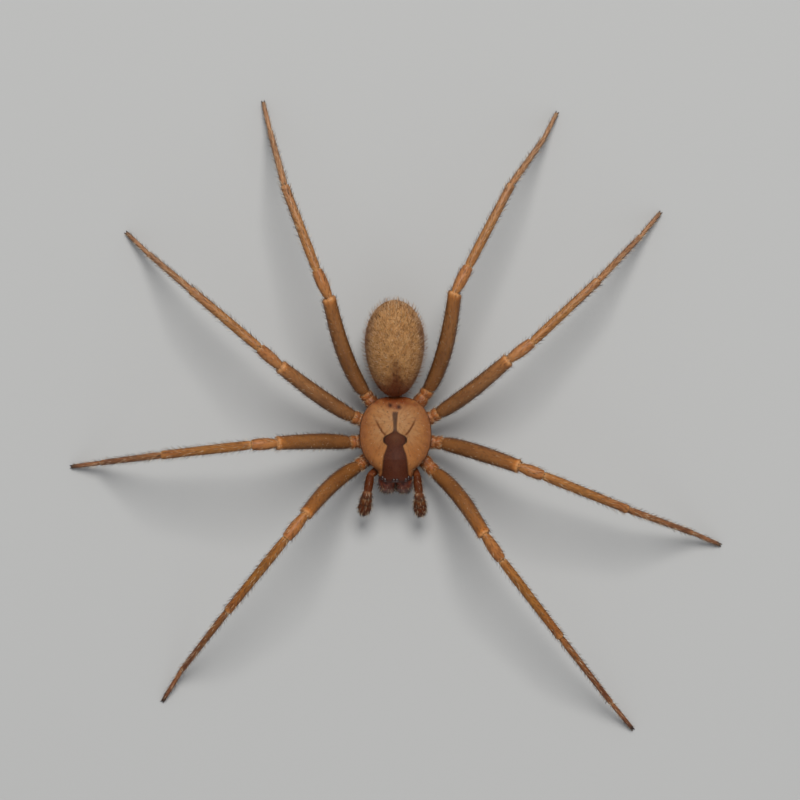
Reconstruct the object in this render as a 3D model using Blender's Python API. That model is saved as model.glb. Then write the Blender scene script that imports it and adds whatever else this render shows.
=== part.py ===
"""Brown recluse spider, a still life-size model standing on its eight feet.

Metres, +Z up, floor at z = 0. The head points to -Y, so the spider's own left side is +X.
The origin is on the floor, under the middle of the leg spread.
"""

from collections import namedtuple
from math import asin, cos, exp, pi, radians, sin, sqrt

import bmesh
import bpy
from mathutils import Matrix, Vector

MM = 0.001

# Gaps that keep neighbouring solids apart
JOINT_GAP = 0.15 * MM
CHELICERA_GAP = 0.12 * MM
EYE_GAP = 0.05 * MM
WELD = 0.001 * MM

# Cephalothorax, measured from a point on the body's axis under the middle of the carapace
THORAX_HALF_WIDTH = 1.80 * MM
THORAX_REAR = 2.00 * MM
THORAX_FRONT = 1.95 * MM
THORAX_REAR_POWER = 2.4
THORAX_FRONT_POWER = 2.0
HEAD_CENTRE_Y = -1.15 * MM
HEAD_HALF_LENGTH = 1.17 * MM
HEAD_HALF_WIDTH = 0.90 * MM
HEAD_POWER = 4.5
HEAD_NARROWING = 0.4
MARGIN_Z = 2.00 * MM
THORAX_RISE = 0.62 * MM
HEAD_RISE = 0.74 * MM
RIDGE_RISE = 0.10 * MM
RIDGE_HALF_WIDTH = 0.70 * MM
FOVEA_Y = 0.75 * MM
GROOVE_DEPTH = 0.07 * MM
GROOVE_HALF_WIDTH = 0.16 * MM
GROOVE_SPREAD = 0.62

# Underside: a sternum plate between the coxae, under a thinner rim
STERNUM_DROP = 0.92 * MM
STERNUM_CENTRE_Y = 0.10 * MM
STERNUM_HALF_LENGTH = 1.75 * MM
STERNUM_POWER = 2.2
STERNUM_HALF_WIDTH = 0.75 * MM
STERNUM_EDGE = 0.35 * MM
RIM_SHARE = 0.35
FACE_DROP = 0.30 * MM

# Abdomen, pedicel and spinnerets, from the same point
ABDOMEN_CENTRE = Vector((-0.04, 4.36, 2.38)) * MM
ABDOMEN_HALF = Vector((1.46, 2.43, 1.30)) * MM
ABDOMEN_REAR_SWELL = 0.06
ABDOMEN_LOW_SHARE = 0.94
PEDICEL_RADIUS = 0.27 * MM
PEDICEL_START = Vector((0.0, 1.62, 1.74)) * MM
PEDICEL_END = Vector((0.0, 2.30, 2.02)) * MM
SPINNERET_BASE = Vector((-0.04, 6.36, 1.64)) * MM
SPINNERET_MOUND_HALF = Vector((0.36, 0.28, 0.28)) * MM
# Three pairs: root and tip on the spider's left side, from the base, and radius at the root
Spinneret = namedtuple("Spinneret", "root tip radius")
SPINNERET_PAIRS = (
    Spinneret(Vector((0.12, 0.02, -0.06)) * MM, Vector((0.20, 0.33, -0.44)) * MM, 0.12 * MM),
    Spinneret(Vector((0.11, 0.02, 0.07)) * MM, Vector((0.19, 0.28, -0.12)) * MM, 0.10 * MM),
    Spinneret(Vector((0.04, 0.02, 0.01)) * MM, Vector((0.06, 0.25, -0.22)) * MM, 0.08 * MM),
)
SPINNERET_TAPER = 0.5

# Chelicerae and eyes
CHELICERA_HALF = Vector((0.40, 0.44, 0.68)) * MM
CHELICERA_CENTRE_Y = -2.36 * MM
CHELICERA_CENTRE_Z = 1.50 * MM
CHELICERA_TILT = radians(-30)
# The fang on the spider's left side: its root in the jaw, then its bend and tip from the root
FANG_ROOT = Vector((-0.05, -0.08, -0.57)) * MM
FANG_BEND = Vector((-0.10, 0.10, -0.20)) * MM
FANG_TIP = Vector((-0.22, 0.22, -0.26)) * MM
FANG_RADII = (0.12 * MM, 0.10 * MM, 0.04 * MM)
EYE_RADIUS = 0.085 * MM
EYE_SPACING = 0.155 * MM
EYE_SINK = 0.02 * MM
# Three pairs in a shallow curve at the front of the head: place and turn of the row of two
EYE_PAIRS = (
    ("eyes_median", 0.0, -2.17 * MM, 0.0),
    ("eyes_left", 0.58 * MM, -2.10 * MM, radians(40)),
    ("eyes_right", -0.58 * MM, -2.10 * MM, radians(-40)),
)

# Palps: from above, the knee and the tip on each side, and heights that both share
PALP_ROOT = Vector((0.88, -1.62, 1.62)) * MM
PALP_SHOULDER_Z = 2.00 * MM
PALP_KNEE_Z = 2.22 * MM
PALP_BULB_Z = 1.42 * MM
PALP_PLAN = {1: ((1.07, -1.95), (1.17, -2.85), (1.24, -3.68)),
             -1: ((1.25, -1.95), (1.39, -2.75), (1.55, -3.62))}
PALP_ARCH = 0.05 * MM
PALP_FEMUR_RADIUS = 0.19 * MM
PALP_KNEE_RADIUS = 0.23 * MM
PALP_TIBIA_PLACE = 0.55  # share of the way from the knee to the bulb
PALP_TIBIA_HALF = Vector((0.26, 0.30, 0.26)) * MM
PALP_BULB_HALF = Vector((0.29, 0.46, 0.28)) * MM
MAXILLA_HALF = Vector((0.26, 0.50, 0.24)) * MM
MAXILLA_CENTRE = Vector((0.50, -1.66, 1.34)) * MM
MAXILLA_TURN = radians(28)
PALP_IN_MAXILLA = Vector((0.10, 0.12, 0.06)) * MM

# Legs: length in mm of each segment, for pairs 1 (front) to 4 (rear), and radii in mm along it
Segments = namedtuple("Segments", "femur patella tibia metatarsus tarsus")
SEGMENT_LENGTH = {
    1: Segments(4.95, 1.50, 5.00, 4.70, 1.90),
    2: Segments(4.95, 1.25, 4.70, 4.30, 1.65),
    3: Segments(5.05, 1.45, 4.65, 3.75, 1.65),
    4: Segments(5.85, 1.50, 4.70, 3.75, 1.60),
}
FEMUR_RADII = (0.29, 0.36, 0.385, 0.38, 0.365, 0.345, 0.33)
PATELLA_RADII = (0.26, 0.275, 0.285, 0.275, 0.25)
TIBIA_RADII = (0.25, 0.265, 0.26, 0.25, 0.245)
METATARSUS_RADII = (0.23, 0.235, 0.225, 0.215, 0.205)
TARSUS_RADII = (0.19, 0.19, 0.175, 0.15, 0.12)
# Coxa and trochanter in one: share of the way to the hip, and radius
COXA_PROFILE = (
    (0.00, 0.20 * MM),
    (0.10, 0.26 * MM),
    (0.38, 0.33 * MM),
    (0.60, 0.31 * MM),
    (0.69, 0.25 * MM),
    (0.78, 0.30 * MM),
    (0.91, 0.30 * MM),
    (1.00, 0.23 * MM),
)
# The rounded end of a segment: its length, then shares of that length and of the full radius
END_ROUNDING = 0.10 * MM
END_PROFILE = ((0.00, 0.76), (0.35, 0.93), (1.00, 1.00))
TIBIA_OVERLAP = 0.04 * MM
TOE_OVERLAP = 0.06 * MM
CLAW_ROOT_BACK = 0.10 * MM
CLAW_ROOT_SPREAD = 0.04 * MM
CLAW_REACH = 0.16 * MM
CLAW_SPREAD = 0.11 * MM
CLAW_RISE = 0.02 * MM
CLAW_RADII = (0.07 * MM, 0.07 * MM, 0.042 * MM)
CLAW_TIP_Z = 0.035 * MM
TUBE_RESOLUTION = 2
HIP_Z = 1.50 * MM
TIP_Z = 0.07 * MM
FEMUR_ARCH = 0.16 * MM
FEMUR_ARCH_SKEW = 0.8  # below 1, the bend is strongest before the middle
# Bend of the femora seen from above, towards the rear
FEMUR_BOW = {1: 0.20 * MM, 2: 0.07 * MM, 3: -0.10 * MM, 4: -0.25 * MM}
COXA_ROOT = {
    1: Vector((1.12, -0.89, 1.38)) * MM,
    2: Vector((1.16, -0.20, 1.36)) * MM,
    3: Vector((1.11, 0.58, 1.36)) * MM,
    4: Vector((0.92, 1.33, 1.40)) * MM,
}

# Pose of each leg. Sweep is each segment's heading in degrees, from straight out to the side
# towards the rear. Pitch is its slope, up positive, and the femur's follows from the floor.
Pose = namedtuple("Pose", "hip sweep pitch")
LEFT, RIGHT = 1, -1
SIDE_NAME = {LEFT: "left", RIGHT: "right"}
POSE = {
    (LEFT, 1): Pose((1.98, -1.80), (-51.7, -56.0, -52.6, -52.4, -50.7), (-10, -12, -28, -27)),
    (LEFT, 2): Pose((2.38, -0.35), (-17.0, -20.6, -21.8, -20.0, -23.4), (1, -14, -36, -26)),
    (LEFT, 3): Pose((2.19, 1.18), (37.4, 36.8, 43.0, 46.2, 50.1), (-3, -14, -34, -24)),
    (LEFT, 4): Pose((1.66, 2.35), (74.9, 62.5, 62.4, 54.6, 63.2), (-14, -12, -41, -24)),
    (RIGHT, 1): Pose((1.90, -1.52), (-42.6, -51.1, -51.1, -52.2, -58.3), (9, -20, -37, -18)),
    (RIGHT, 2): Pose((2.33, -0.31), (-0.4, -4.0, -6.5, -7.3, -7.6), (12, -17, -44, -25)),
    (RIGHT, 3): Pose((2.17, 1.00), (34.9, 41.5, 40.3, 40.2, 43.6), (20, -16, -40, -27)),
    (RIGHT, 4): Pose((1.55, 2.19), (69.4, 66.3, 69.2, 74.9, 76.8), (3, -17, -40, -24)),
}

# Base colour in linear light, and roughness
FINISHES = {
    "carapace": (0.262, 0.112, 0.044, 0.42),
    "abdomen": (0.319, 0.149, 0.057, 0.62),
    "femur": (0.187, 0.072, 0.020, 0.45),
    "tibia": (0.314, 0.148, 0.052, 0.45),
    "foot": (0.162, 0.074, 0.040, 0.50),
    "coxa": (0.198, 0.074, 0.028, 0.45),
    "palp": (0.100, 0.033, 0.018, 0.45),
    "chelicera": (0.072, 0.022, 0.015, 0.30),
    "eye": (0.010, 0.007, 0.006, 0.08),
    "spinneret": (0.240, 0.115, 0.050, 0.55),
}


def start_scene():
    for old in list(bpy.data.objects):
        bpy.data.objects.remove(old, do_unlink=True)
    collection = bpy.data.collections.new("brown_recluse_spider")
    bpy.context.scene.collection.children.link(collection)
    return collection


def make_materials():
    made = {}
    for name, (red, green, blue, roughness) in FINISHES.items():
        made[name] = bpy.data.materials.new(name)
        made[name].use_nodes = True
        shader = made[name].node_tree.nodes["Principled BSDF"]
        shader.inputs["Base Color"].default_value = (red, green, blue, 1.0)
        shader.inputs["Roughness"].default_value = roughness
        shader.inputs["Metallic"].default_value = 0.0
    return made


PARTS = start_scene()
MATERIALS = make_materials()


def add_object(name, data):
    made = bpy.data.objects.new(name, data)
    PARTS.objects.link(made)
    return made


def evaluated_mesh(made):
    """The object's mesh with its modifiers applied, or a curve's, with the caps welded on."""
    graph = bpy.context.evaluated_depsgraph_get()
    mesh = bpy.data.meshes.new_from_object(made.evaluated_get(graph), depsgraph=graph)
    shape = bmesh.new()
    shape.from_mesh(mesh)
    bmesh.ops.remove_doubles(shape, verts=shape.verts, dist=WELD)
    bmesh.ops.recalc_face_normals(shape, faces=shape.faces)
    shape.to_mesh(mesh)
    shape.free()
    return mesh


def tube(name, points, radii):
    """A closed tube through the points, with its own radius at each."""
    curve = bpy.data.curves.new(name, "CURVE")
    curve.dimensions = "3D"
    curve.bevel_depth = 1.0
    curve.bevel_resolution = TUBE_RESOLUTION
    curve.use_fill_caps = True
    spline = curve.splines.new("POLY")
    spline.points.add(len(points) - 1)
    for spot, point, radius in zip(spline.points, points, radii):
        spot.co = (*point, 1.0)
        spot.radius = radius
    guide = add_object(name + "_curve", curve)
    made = add_object(name, evaluated_mesh(guide))
    bpy.data.objects.remove(guide, do_unlink=True)
    bpy.data.curves.remove(curve)
    return made


def ball(name, segments, rings, place, shape_point):
    """A closed round body with its poles on Y: shape_point moves each point of a unit ball."""
    shape = bmesh.new()
    bmesh.ops.create_uvsphere(shape, u_segments=segments, v_segments=rings, radius=1.0)
    bmesh.ops.rotate(shape, verts=shape.verts, matrix=Matrix.Rotation(pi / 2, 3, "X"))
    for vertex in shape.verts:
        vertex.co = shape_point(vertex.co)
    bmesh.ops.transform(shape, verts=shape.verts, matrix=place)
    bmesh.ops.recalc_face_normals(shape, faces=shape.faces)
    mesh = bpy.data.meshes.new(name)
    shape.to_mesh(mesh)
    shape.free()
    return add_object(name, mesh)


def egg(name, place, half, grow=0.0, segments=12, rings=8):
    """An ellipsoid with these half-sizes, each grown by the same length."""
    sizes = half + Vector((grow, grow, grow))
    return ball(name, segments, rings, place, lambda unit: unit * sizes)


def keep_largest(mesh):
    """Keeps only the largest closed surface of a mesh."""
    shape = bmesh.new()
    shape.from_mesh(mesh)
    waiting = set(shape.verts)
    groups = []
    while waiting:
        group = [waiting.pop()]
        for vertex in group:
            for edge in vertex.link_edges:
                other = edge.other_vert(vertex)
                if other in waiting:
                    waiting.discard(other)
                    group.append(other)
        groups.append(group)
    largest = set(max(groups, key=len))
    loose = [vertex for vertex in shape.verts if vertex not in largest]
    bmesh.ops.delete(shape, geom=loose, context="VERTS")
    shape.to_mesh(mesh)
    shape.free()


def combine(made, others, operation):
    """Joins the other solids to this one, or cuts them from it, and removes them."""
    tools = bpy.data.collections.new(made.name + "_tools")
    bpy.context.scene.collection.children.link(tools)
    for other in others:
        PARTS.objects.unlink(other)
        tools.objects.link(other)
    boolean = made.modifiers.new("combine", "BOOLEAN")
    boolean.operation = operation
    boolean.operand_type = "COLLECTION"
    boolean.collection = tools
    made.data = evaluated_mesh(made)
    made.modifiers.clear()
    for other in list(tools.objects):
        bpy.data.objects.remove(other, do_unlink=True)
    bpy.data.collections.remove(tools)
    keep_largest(made.data)
    return made


def finish(made, material):
    made.data.materials.clear()
    made.data.materials.append(MATERIALS[material])
    made.data.shade_smooth()
    made.data.set_sharp_from_angle(angle=radians(50))
    return made


def oval(t, power):
    """Half-width of a unit superellipse at t along its axis."""
    return max(0.0, 1.0 - abs(t) ** power) ** (1.0 / power)


def smooth_step(low, high, value):
    t = min(1.0, max(0.0, (value - low) / (high - low)))
    return t * t * (3.0 - 2.0 * t)


def thorax_share(y):
    if y > 0:
        return oval(y / THORAX_REAR, THORAX_REAR_POWER)
    return oval(y / THORAX_FRONT, THORAX_FRONT_POWER)


def head_share(y):
    if y > 0:
        return 0.0
    if y > HEAD_CENTRE_Y:
        return 1.0 - HEAD_NARROWING * min(1.0, (y - HEAD_CENTRE_Y) / HEAD_HALF_LENGTH)
    return oval((y - HEAD_CENTRE_Y) / HEAD_HALF_LENGTH, HEAD_POWER)


def half_width(y):
    return max(THORAX_HALF_WIDTH * thorax_share(y), HEAD_HALF_WIDTH * head_share(y))


def rise(y):
    """Height of the carapace's mid line over its margin."""
    return max(THORAX_RISE * thorax_share(y), HEAD_RISE * head_share(y))


def drop(y):
    """Depth of the underside's mid line below the margin."""
    sternum = oval((y - STERNUM_CENTRE_Y) / STERNUM_HALF_LENGTH, STERNUM_POWER)
    return max(STERNUM_DROP * sternum, FACE_DROP * max(thorax_share(y), head_share(y)))


def groove(x, y):
    """Depth of the furrows that run from the fovea forward to both sides of the head."""
    forward = max(0.0, FOVEA_Y - y)
    off_line = (abs(x) - forward * GROOVE_SPREAD) / GROOVE_HALF_WIDTH
    fade = 1.0 - smooth_step(0.9 * MM, 2.0 * MM, forward)
    behind = 1.0 - smooth_step(0.0, 0.5 * MM, y - FOVEA_Y)
    return GROOVE_DEPTH * exp(-(off_line**2)) * fade * behind


def carapace_top(x, y):
    """Height of the carapace's surface at a point seen from above."""
    across = min(1.0, abs(x) / half_width(y))
    slope = sqrt(1.0 - across**2)
    ridge = RIDGE_RISE * exp(-((x / RIDGE_HALF_WIDTH) ** 2)) * min(1.0, rise(y) / THORAX_RISE)
    return MARGIN_Z + rise(y) * slope + (ridge - groove(x, y)) * slope


def carapace_underside(x, y):
    across = min(1.0, abs(x) / half_width(y))
    edge = smooth_step(STERNUM_HALF_WIDTH, STERNUM_HALF_WIDTH + STERNUM_EDGE, abs(x))
    plate = 1.0 - edge
    slope = sqrt(1.0 - across**2)
    return MARGIN_Z - drop(y) * slope * (RIM_SHARE + (1.0 - RIM_SHARE) * plate)


def cephalothorax_point(unit):
    front = HEAD_CENTRE_Y - HEAD_HALF_LENGTH
    y = (THORAX_REAR + front) / 2 + unit.y * (THORAX_REAR - front) / 2
    ring = sqrt(unit.x**2 + unit.z**2)
    if ring < 1e-4:
        return Vector((0.0, y, MARGIN_Z))
    x = unit.x / ring * half_width(y)
    surface = carapace_top if unit.z >= 0 else carapace_underside
    return Vector((x, y, surface(x, y)))


def abdomen_point(unit):
    """An egg, a little wider behind its middle and flatter below."""
    swell = 1.0 + ABDOMEN_REAR_SWELL * sin(unit.y * pi / 2)
    low = ABDOMEN_LOW_SHARE if unit.z < 0 else 1.0
    return unit * ABDOMEN_HALF * Vector((swell, 1.0, swell * low))


def limb(name, start, end, radii, bend=None):
    """A leg segment as a tube with rounded ends, bent along bend where it is given."""
    lip = END_ROUNDING / (end - start).length
    first, *inner, last = radii
    stations = [(lip * share, first * size) for share, size in END_PROFILE]
    stations += [((place + 1) / (len(radii) - 1), radius) for place, radius in enumerate(inner)]
    stations += [(1.0 - lip * share, last * size) for share, size in reversed(END_PROFILE)]
    bend = bend or Vector((0, 0, 0))
    points = [start.lerp(end, share) + bend * sin(pi * share**FEMUR_ARCH_SKEW)
              for share, _ in stations]
    return tube(name, points, [radius * MM for _, radius in stations])


def direction(side, sweep, pitch):
    """Unit vector of a segment: sweep towards the rear from straight out, pitch up."""
    turn = radians(sweep)
    return Vector((side * cos(pitch) * cos(turn), cos(pitch) * sin(turn), sin(pitch)))


def leg_joints(side, pair):
    """Hip, knee, patella's end, ankle, tarsal joint and tip, with the tip on the floor."""
    lengths = SEGMENT_LENGTH[pair]
    pose = POSE[side, pair]
    slopes = [radians(pitch) for pitch in pose.pitch]
    fall = sum(length * sin(slope) for length, slope in zip(lengths[1:], slopes)) * MM
    femur_slope = asin((TIP_Z - HIP_Z - fall) / (lengths.femur * MM))
    joints = [Vector((side * pose.hip[0] * MM, pose.hip[1] * MM, HIP_Z))]
    for length, sweep, slope in zip(lengths, pose.sweep, [femur_slope, *slopes]):
        joints.append(joints[-1] + direction(side, sweep, slope) * length * MM)
    return joints


def leg_name(side, pair, segment):
    return f"leg_{SIDE_NAME[side]}_{pair}_{segment}"


def coxa(side, pair, hip, grow=0.0):
    """Coxa and trochanter, from the sternum's edge to the hip, as one solid."""
    root = COXA_ROOT[pair] * Vector((side, 1, 1))
    points = [root.lerp(hip, share) for share, _ in COXA_PROFILE]
    radii = [radius + grow for _, radius in COXA_PROFILE]
    along = (hip - root).normalized()
    points[0] -= along * grow
    points[-1] -= along * (JOINT_GAP / 2 - grow)
    return tube(leg_name(side, pair, "coxa"), points, radii)


def trimmed(start, end, at_start, at_end):
    along = (end - start).normalized()
    return start + along * at_start, end - along * at_end


def femur(side, pair, joints):
    start, end = trimmed(joints[0], joints[1], JOINT_GAP / 2, JOINT_GAP / 2)
    sweep = radians(POSE[side, pair].sweep[0])
    rearward = Vector((-side * sin(sweep), cos(sweep), 0.0))
    bend = rearward * FEMUR_BOW[pair] + Vector((0, 0, FEMUR_ARCH))
    return finish(limb(leg_name(side, pair, "femur"), start, end, FEMUR_RADII, bend), "femur")


def tibia(side, pair, joints):
    """Patella and tibia, fused at the stiff joint between them."""
    knee = trimmed(joints[1], joints[2], JOINT_GAP / 2, -TIBIA_OVERLAP)
    shin = trimmed(joints[2], joints[3], -TIBIA_OVERLAP, JOINT_GAP / 2)
    made = limb(leg_name(side, pair, "tibia"), *knee, PATELLA_RADII)
    return finish(combine(made, [limb("shin", *shin, TIBIA_RADII)], "UNION"), "tibia")


def claws(joints):
    """Two claws that spread from the tip of the tarsus and lie on the floor."""
    forward = (joints[5] - joints[4]).normalized()
    sideways = forward.cross(Vector((0, 0, 1))).normalized()
    made = []
    for turn in (-1, 1):
        root = joints[5] - forward * CLAW_ROOT_BACK + sideways * turn * CLAW_ROOT_SPREAD
        tip = joints[5] + forward * CLAW_REACH + sideways * turn * CLAW_SPREAD
        tip.z = CLAW_TIP_Z
        middle = root.lerp(tip, 0.5) + Vector((0, 0, CLAW_RISE))
        made.append(tube("claw", [root, middle, tip], CLAW_RADII))
    return made


def flatten_on_floor(mesh):
    """Cuts off what reaches below the floor and closes the cut, which is the foot's flat."""
    shape = bmesh.new()
    shape.from_mesh(mesh)
    geometry = shape.verts[:] + shape.edges[:] + shape.faces[:]
    cut = bmesh.ops.bisect_plane(shape, geom=geometry, plane_co=(0, 0, 0), plane_no=(0, 0, -1),
                                 clear_outer=True)
    rim = [item for item in cut["geom_cut"] if isinstance(item, bmesh.types.BMEdge)]
    bmesh.ops.holes_fill(shape, edges=rim)
    bmesh.ops.recalc_face_normals(shape, faces=shape.faces)
    shape.to_mesh(mesh)
    shape.free()


def foot(side, pair, joints):
    """Metatarsus, tarsus and two claws, with a flat under the tip that rests on the floor."""
    shank = trimmed(joints[3], joints[4], JOINT_GAP / 2, -TOE_OVERLAP)
    toe = trimmed(joints[4], joints[5], -TOE_OVERLAP, 0.0)
    made = limb(leg_name(side, pair, "foot"), *shank, METATARSUS_RADII)
    combine(made, [limb("toe", *toe, TARSUS_RADII), *claws(joints)], "UNION")
    flatten_on_floor(made.data)
    return finish(made, "foot")


def pointing(along, centre):
    """Places a ball whose long axis is Y so that this axis lies along a direction."""
    return Matrix.Translation(centre) @ along.to_track_quat("Y", "Z").to_matrix().to_4x4()


def palp(side, grow=0.0):
    """Maxilla, slender femur, knee, swollen tibia and the bulb at the tip, as one solid."""
    mirror = Vector((side, 1, 1))
    centre = MAXILLA_CENTRE * mirror
    shoulder, knee, bulb = (Vector((side * x, y, 0)) * MM for x, y in PALP_PLAN[side])
    shoulder.z, knee.z, bulb.z = PALP_SHOULDER_Z, PALP_KNEE_Z, PALP_BULB_Z
    down = bulb - knee
    tibia_centre = knee + down * PALP_TIBIA_PLACE
    turn = Matrix.Rotation(side * MAXILLA_TURN, 4, "Z")
    made = egg(f"palp_{SIDE_NAME[side]}", Matrix.Translation(centre) @ turn, MAXILLA_HALF, grow, 10, 8)
    root = [centre + PALP_IN_MAXILLA * mirror, PALP_ROOT * mirror, shoulder]
    middle = shoulder.lerp(knee, 0.5) + Vector((0, 0, PALP_ARCH))
    arm = [shoulder, middle, knee, knee.lerp(tibia_centre, 0.4), tibia_centre]
    arm_radii = [PALP_FEMUR_RADIUS] * 3 + [PALP_KNEE_RADIUS] * 2
    pieces = [
        tube("palp_root", root, [PALP_FEMUR_RADIUS + grow] * 3),
        tube("palp_arm", arm, [radius + grow for radius in arm_radii]),
        egg("palp_tibia", pointing(down, tibia_centre), PALP_TIBIA_HALF, grow, 10, 8),
        egg("palp_bulb", pointing(down, bulb), PALP_BULB_HALF, grow, 12, 10),
    ]
    return combine(made, pieces, "UNION")


def chelicera(side, grow=0.0):
    """Basal segment of one jaw, with the fang folded inwards at its end."""
    centre = Vector((side * (CHELICERA_HALF.x + CHELICERA_GAP / 2), CHELICERA_CENTRE_Y,
                     CHELICERA_CENTRE_Z))
    place = Matrix.Translation(centre) @ Matrix.Rotation(CHELICERA_TILT, 4, "X")
    made = egg(f"chelicera_{SIDE_NAME[side]}", place, CHELICERA_HALF, grow, 12, 10)
    mirror = Vector((side, 1, 1))
    root = place @ (FANG_ROOT * mirror)
    fang = [root, root + FANG_BEND * mirror, root + FANG_TIP * mirror]
    return combine(made, [tube("fang", fang, [radius + grow for radius in FANG_RADII])], "UNION")


def eye_pair(name, x, y, turn, grow=0.0):
    """Two lenses side by side on the head's surface, as one solid."""
    half_step = Vector((cos(turn), sin(turn), 0.0)) * EYE_SPACING / 2
    lenses = []
    for way in (-1, 1):
        spot = Vector((x, y, 0.0)) + half_step * way
        spot.z = carapace_top(spot.x, spot.y) - EYE_SINK
        radius = Vector((EYE_RADIUS, EYE_RADIUS, EYE_RADIUS))
        lenses.append(egg(name, Matrix.Translation(spot), radius, grow, 10, 8))
    return combine(lenses[0], lenses[1:], "UNION")


def spinneret_mound(grow=0.0):
    return egg("spinnerets", Matrix.Translation(SPINNERET_BASE), SPINNERET_MOUND_HALF, grow)


def spinnerets():
    """Six short spinnerets on a low mound, as one solid."""
    made = spinneret_mound()
    cones = []
    for pair in SPINNERET_PAIRS:
        for side in (LEFT, RIGHT):
            root, tip = (SPINNERET_BASE + spot * Vector((side, 1, 1)) for spot in (pair.root, pair.tip))
            radii = [pair.radius, pair.radius, pair.radius * SPINNERET_TAPER]
            cones.append(tube("spinneret", [root, root.lerp(tip, 0.5), tip], radii))
    return finish(combine(made, cones, "UNION"), "spinneret")


def pedicel(grow=0.0):
    start, end = trimmed(PEDICEL_START, PEDICEL_END, -grow, -grow)
    return tube("pedicel", [start, start.lerp(end, 0.5), end], [PEDICEL_RADIUS + grow] * 3)


def cephalothorax(legs):
    """Head and thorax in one piece, with a socket for everything that grows from it."""
    made = ball("cephalothorax", 36, 24, Matrix(), cephalothorax_point)
    sockets = [coxa(*leg, joints[0], JOINT_GAP) for leg, joints in legs.items()]
    sockets += [chelicera(side, JOINT_GAP) for side in (LEFT, RIGHT)]
    sockets += [palp(side, JOINT_GAP) for side in (LEFT, RIGHT)]
    sockets += [eye_pair(*eyes, grow=EYE_GAP) for eyes in EYE_PAIRS]
    sockets.append(pedicel(JOINT_GAP))
    return finish(combine(made, sockets, "DIFFERENCE"), "carapace")


def abdomen():
    made = ball("abdomen", 28, 20, Matrix.Translation(ABDOMEN_CENTRE), abdomen_point)
    sockets = [pedicel(JOINT_GAP), spinneret_mound(JOINT_GAP)]
    return finish(combine(made, sockets, "DIFFERENCE"), "abdomen")


def centre_on_origin(tips):
    """Moves every part so that the middle of the leg spread is over the origin."""
    middle_x = (max(tip.x for tip in tips) + min(tip.x for tip in tips)) / 2
    middle_y = (max(tip.y for tip in tips) + min(tip.y for tip in tips)) / 2
    for made in PARTS.objects:
        made.data.transform(Matrix.Translation((-middle_x, -middle_y, 0.0)))


def build():
    legs = {leg: leg_joints(*leg) for leg in POSE}
    cephalothorax(legs)
    abdomen()
    finish(pedicel(), "coxa")
    spinnerets()
    for side in (LEFT, RIGHT):
        finish(chelicera(side), "chelicera")
        finish(palp(side), "palp")
    for eyes in EYE_PAIRS:
        finish(eye_pair(*eyes), "eye")
    for (side, pair), joints in legs.items():
        finish(coxa(side, pair, joints[0]), "coxa")
        femur(side, pair, joints)
        tibia(side, pair, joints)
        foot(side, pair, joints)
    centre_on_origin([joints[-1] for joints in legs.values()])


build()
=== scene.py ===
"""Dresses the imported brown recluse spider: fine skins, markings, hair, eyes and a plain studio.

Metres, +Z up, head towards -Y, floor at z = 0. Laid out as an add-on: sizes and colours are
properties, each group of like pieces has its operator, and a sidebar panel lists them.
"""

from collections import namedtuple
from math import asin, cos, pi, radians, sin, tan

import bpy
import numpy as np
from bpy.props import FloatProperty, FloatVectorProperty, IntProperty, PointerProperty
from mathutils import Matrix, Vector


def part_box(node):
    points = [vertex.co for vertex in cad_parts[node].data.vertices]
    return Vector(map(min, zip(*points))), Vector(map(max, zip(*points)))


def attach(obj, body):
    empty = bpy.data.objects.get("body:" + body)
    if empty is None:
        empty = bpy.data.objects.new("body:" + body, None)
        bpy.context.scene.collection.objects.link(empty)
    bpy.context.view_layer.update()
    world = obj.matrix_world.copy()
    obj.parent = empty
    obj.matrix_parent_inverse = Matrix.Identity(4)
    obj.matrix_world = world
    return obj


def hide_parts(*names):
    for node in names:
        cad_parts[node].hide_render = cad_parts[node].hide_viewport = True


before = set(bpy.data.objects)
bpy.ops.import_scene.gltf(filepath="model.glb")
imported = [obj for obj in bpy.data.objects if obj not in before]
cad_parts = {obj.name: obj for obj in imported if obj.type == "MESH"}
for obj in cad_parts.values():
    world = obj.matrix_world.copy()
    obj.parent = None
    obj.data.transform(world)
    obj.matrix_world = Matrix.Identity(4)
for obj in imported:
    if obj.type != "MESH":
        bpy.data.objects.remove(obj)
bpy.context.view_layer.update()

bl_info = {
    "name": "Brown recluse spider",
    "version": (1, 0, 0),
    "blender": (4, 5, 0),
    "location": "3D View > Sidebar > Spider",
    "description": "Dresses the packed spider with cuticle, hair, eyes and a plain studio",
    "category": "Object",
}

MM = 0.001
BODY_NAME = "root"
LEFT, RIGHT = 1, -1
SIDES = (LEFT, RIGHT)
SIDE_NAME = {LEFT: "left", RIGHT: "right"}
PAIRS = (1, 2, 3, 4)

# Cephalothorax, in mm from the point under the middle of the carapace
THORAX_HALF_WIDTH = 1.80
THORAX_REAR = 2.00
THORAX_FRONT = 1.95
THORAX_REAR_POWER = 2.4
THORAX_FRONT_POWER = 2.0
HEAD_CENTRE_Y = -1.15
HEAD_HALF_LENGTH = 1.17
HEAD_HALF_WIDTH = 0.90
HEAD_POWER = 4.5
HEAD_NARROWING = 0.4
MARGIN_Z = 2.00
FLOOR_GAP = 0.015
THORAX_RISE = 0.62
HEAD_RISE = 0.74
RIDGE_RISE = 0.10
RIDGE_HALF_WIDTH = 0.70
STERNUM_DROP = 0.92
STERNUM_CENTRE_Y = 0.10
STERNUM_HALF_LENGTH = 1.75
STERNUM_POWER = 2.2
STERNUM_HALF_WIDTH = 0.75
STERNUM_EDGE = 0.35
RIM_SHARE = 0.35
FACE_DROP = 0.30
LIP_RISE = 0.035
NECK_HOLLOW = ((0.45, 0.10), (0.85, -0.55), (1.25, -1.15))
NECK_HOLLOW_WIDTH = 0.16
NECK_HOLLOW_DEPTH = 0.045
COXA_HOLLOW_WIDTH = 0.13
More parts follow.
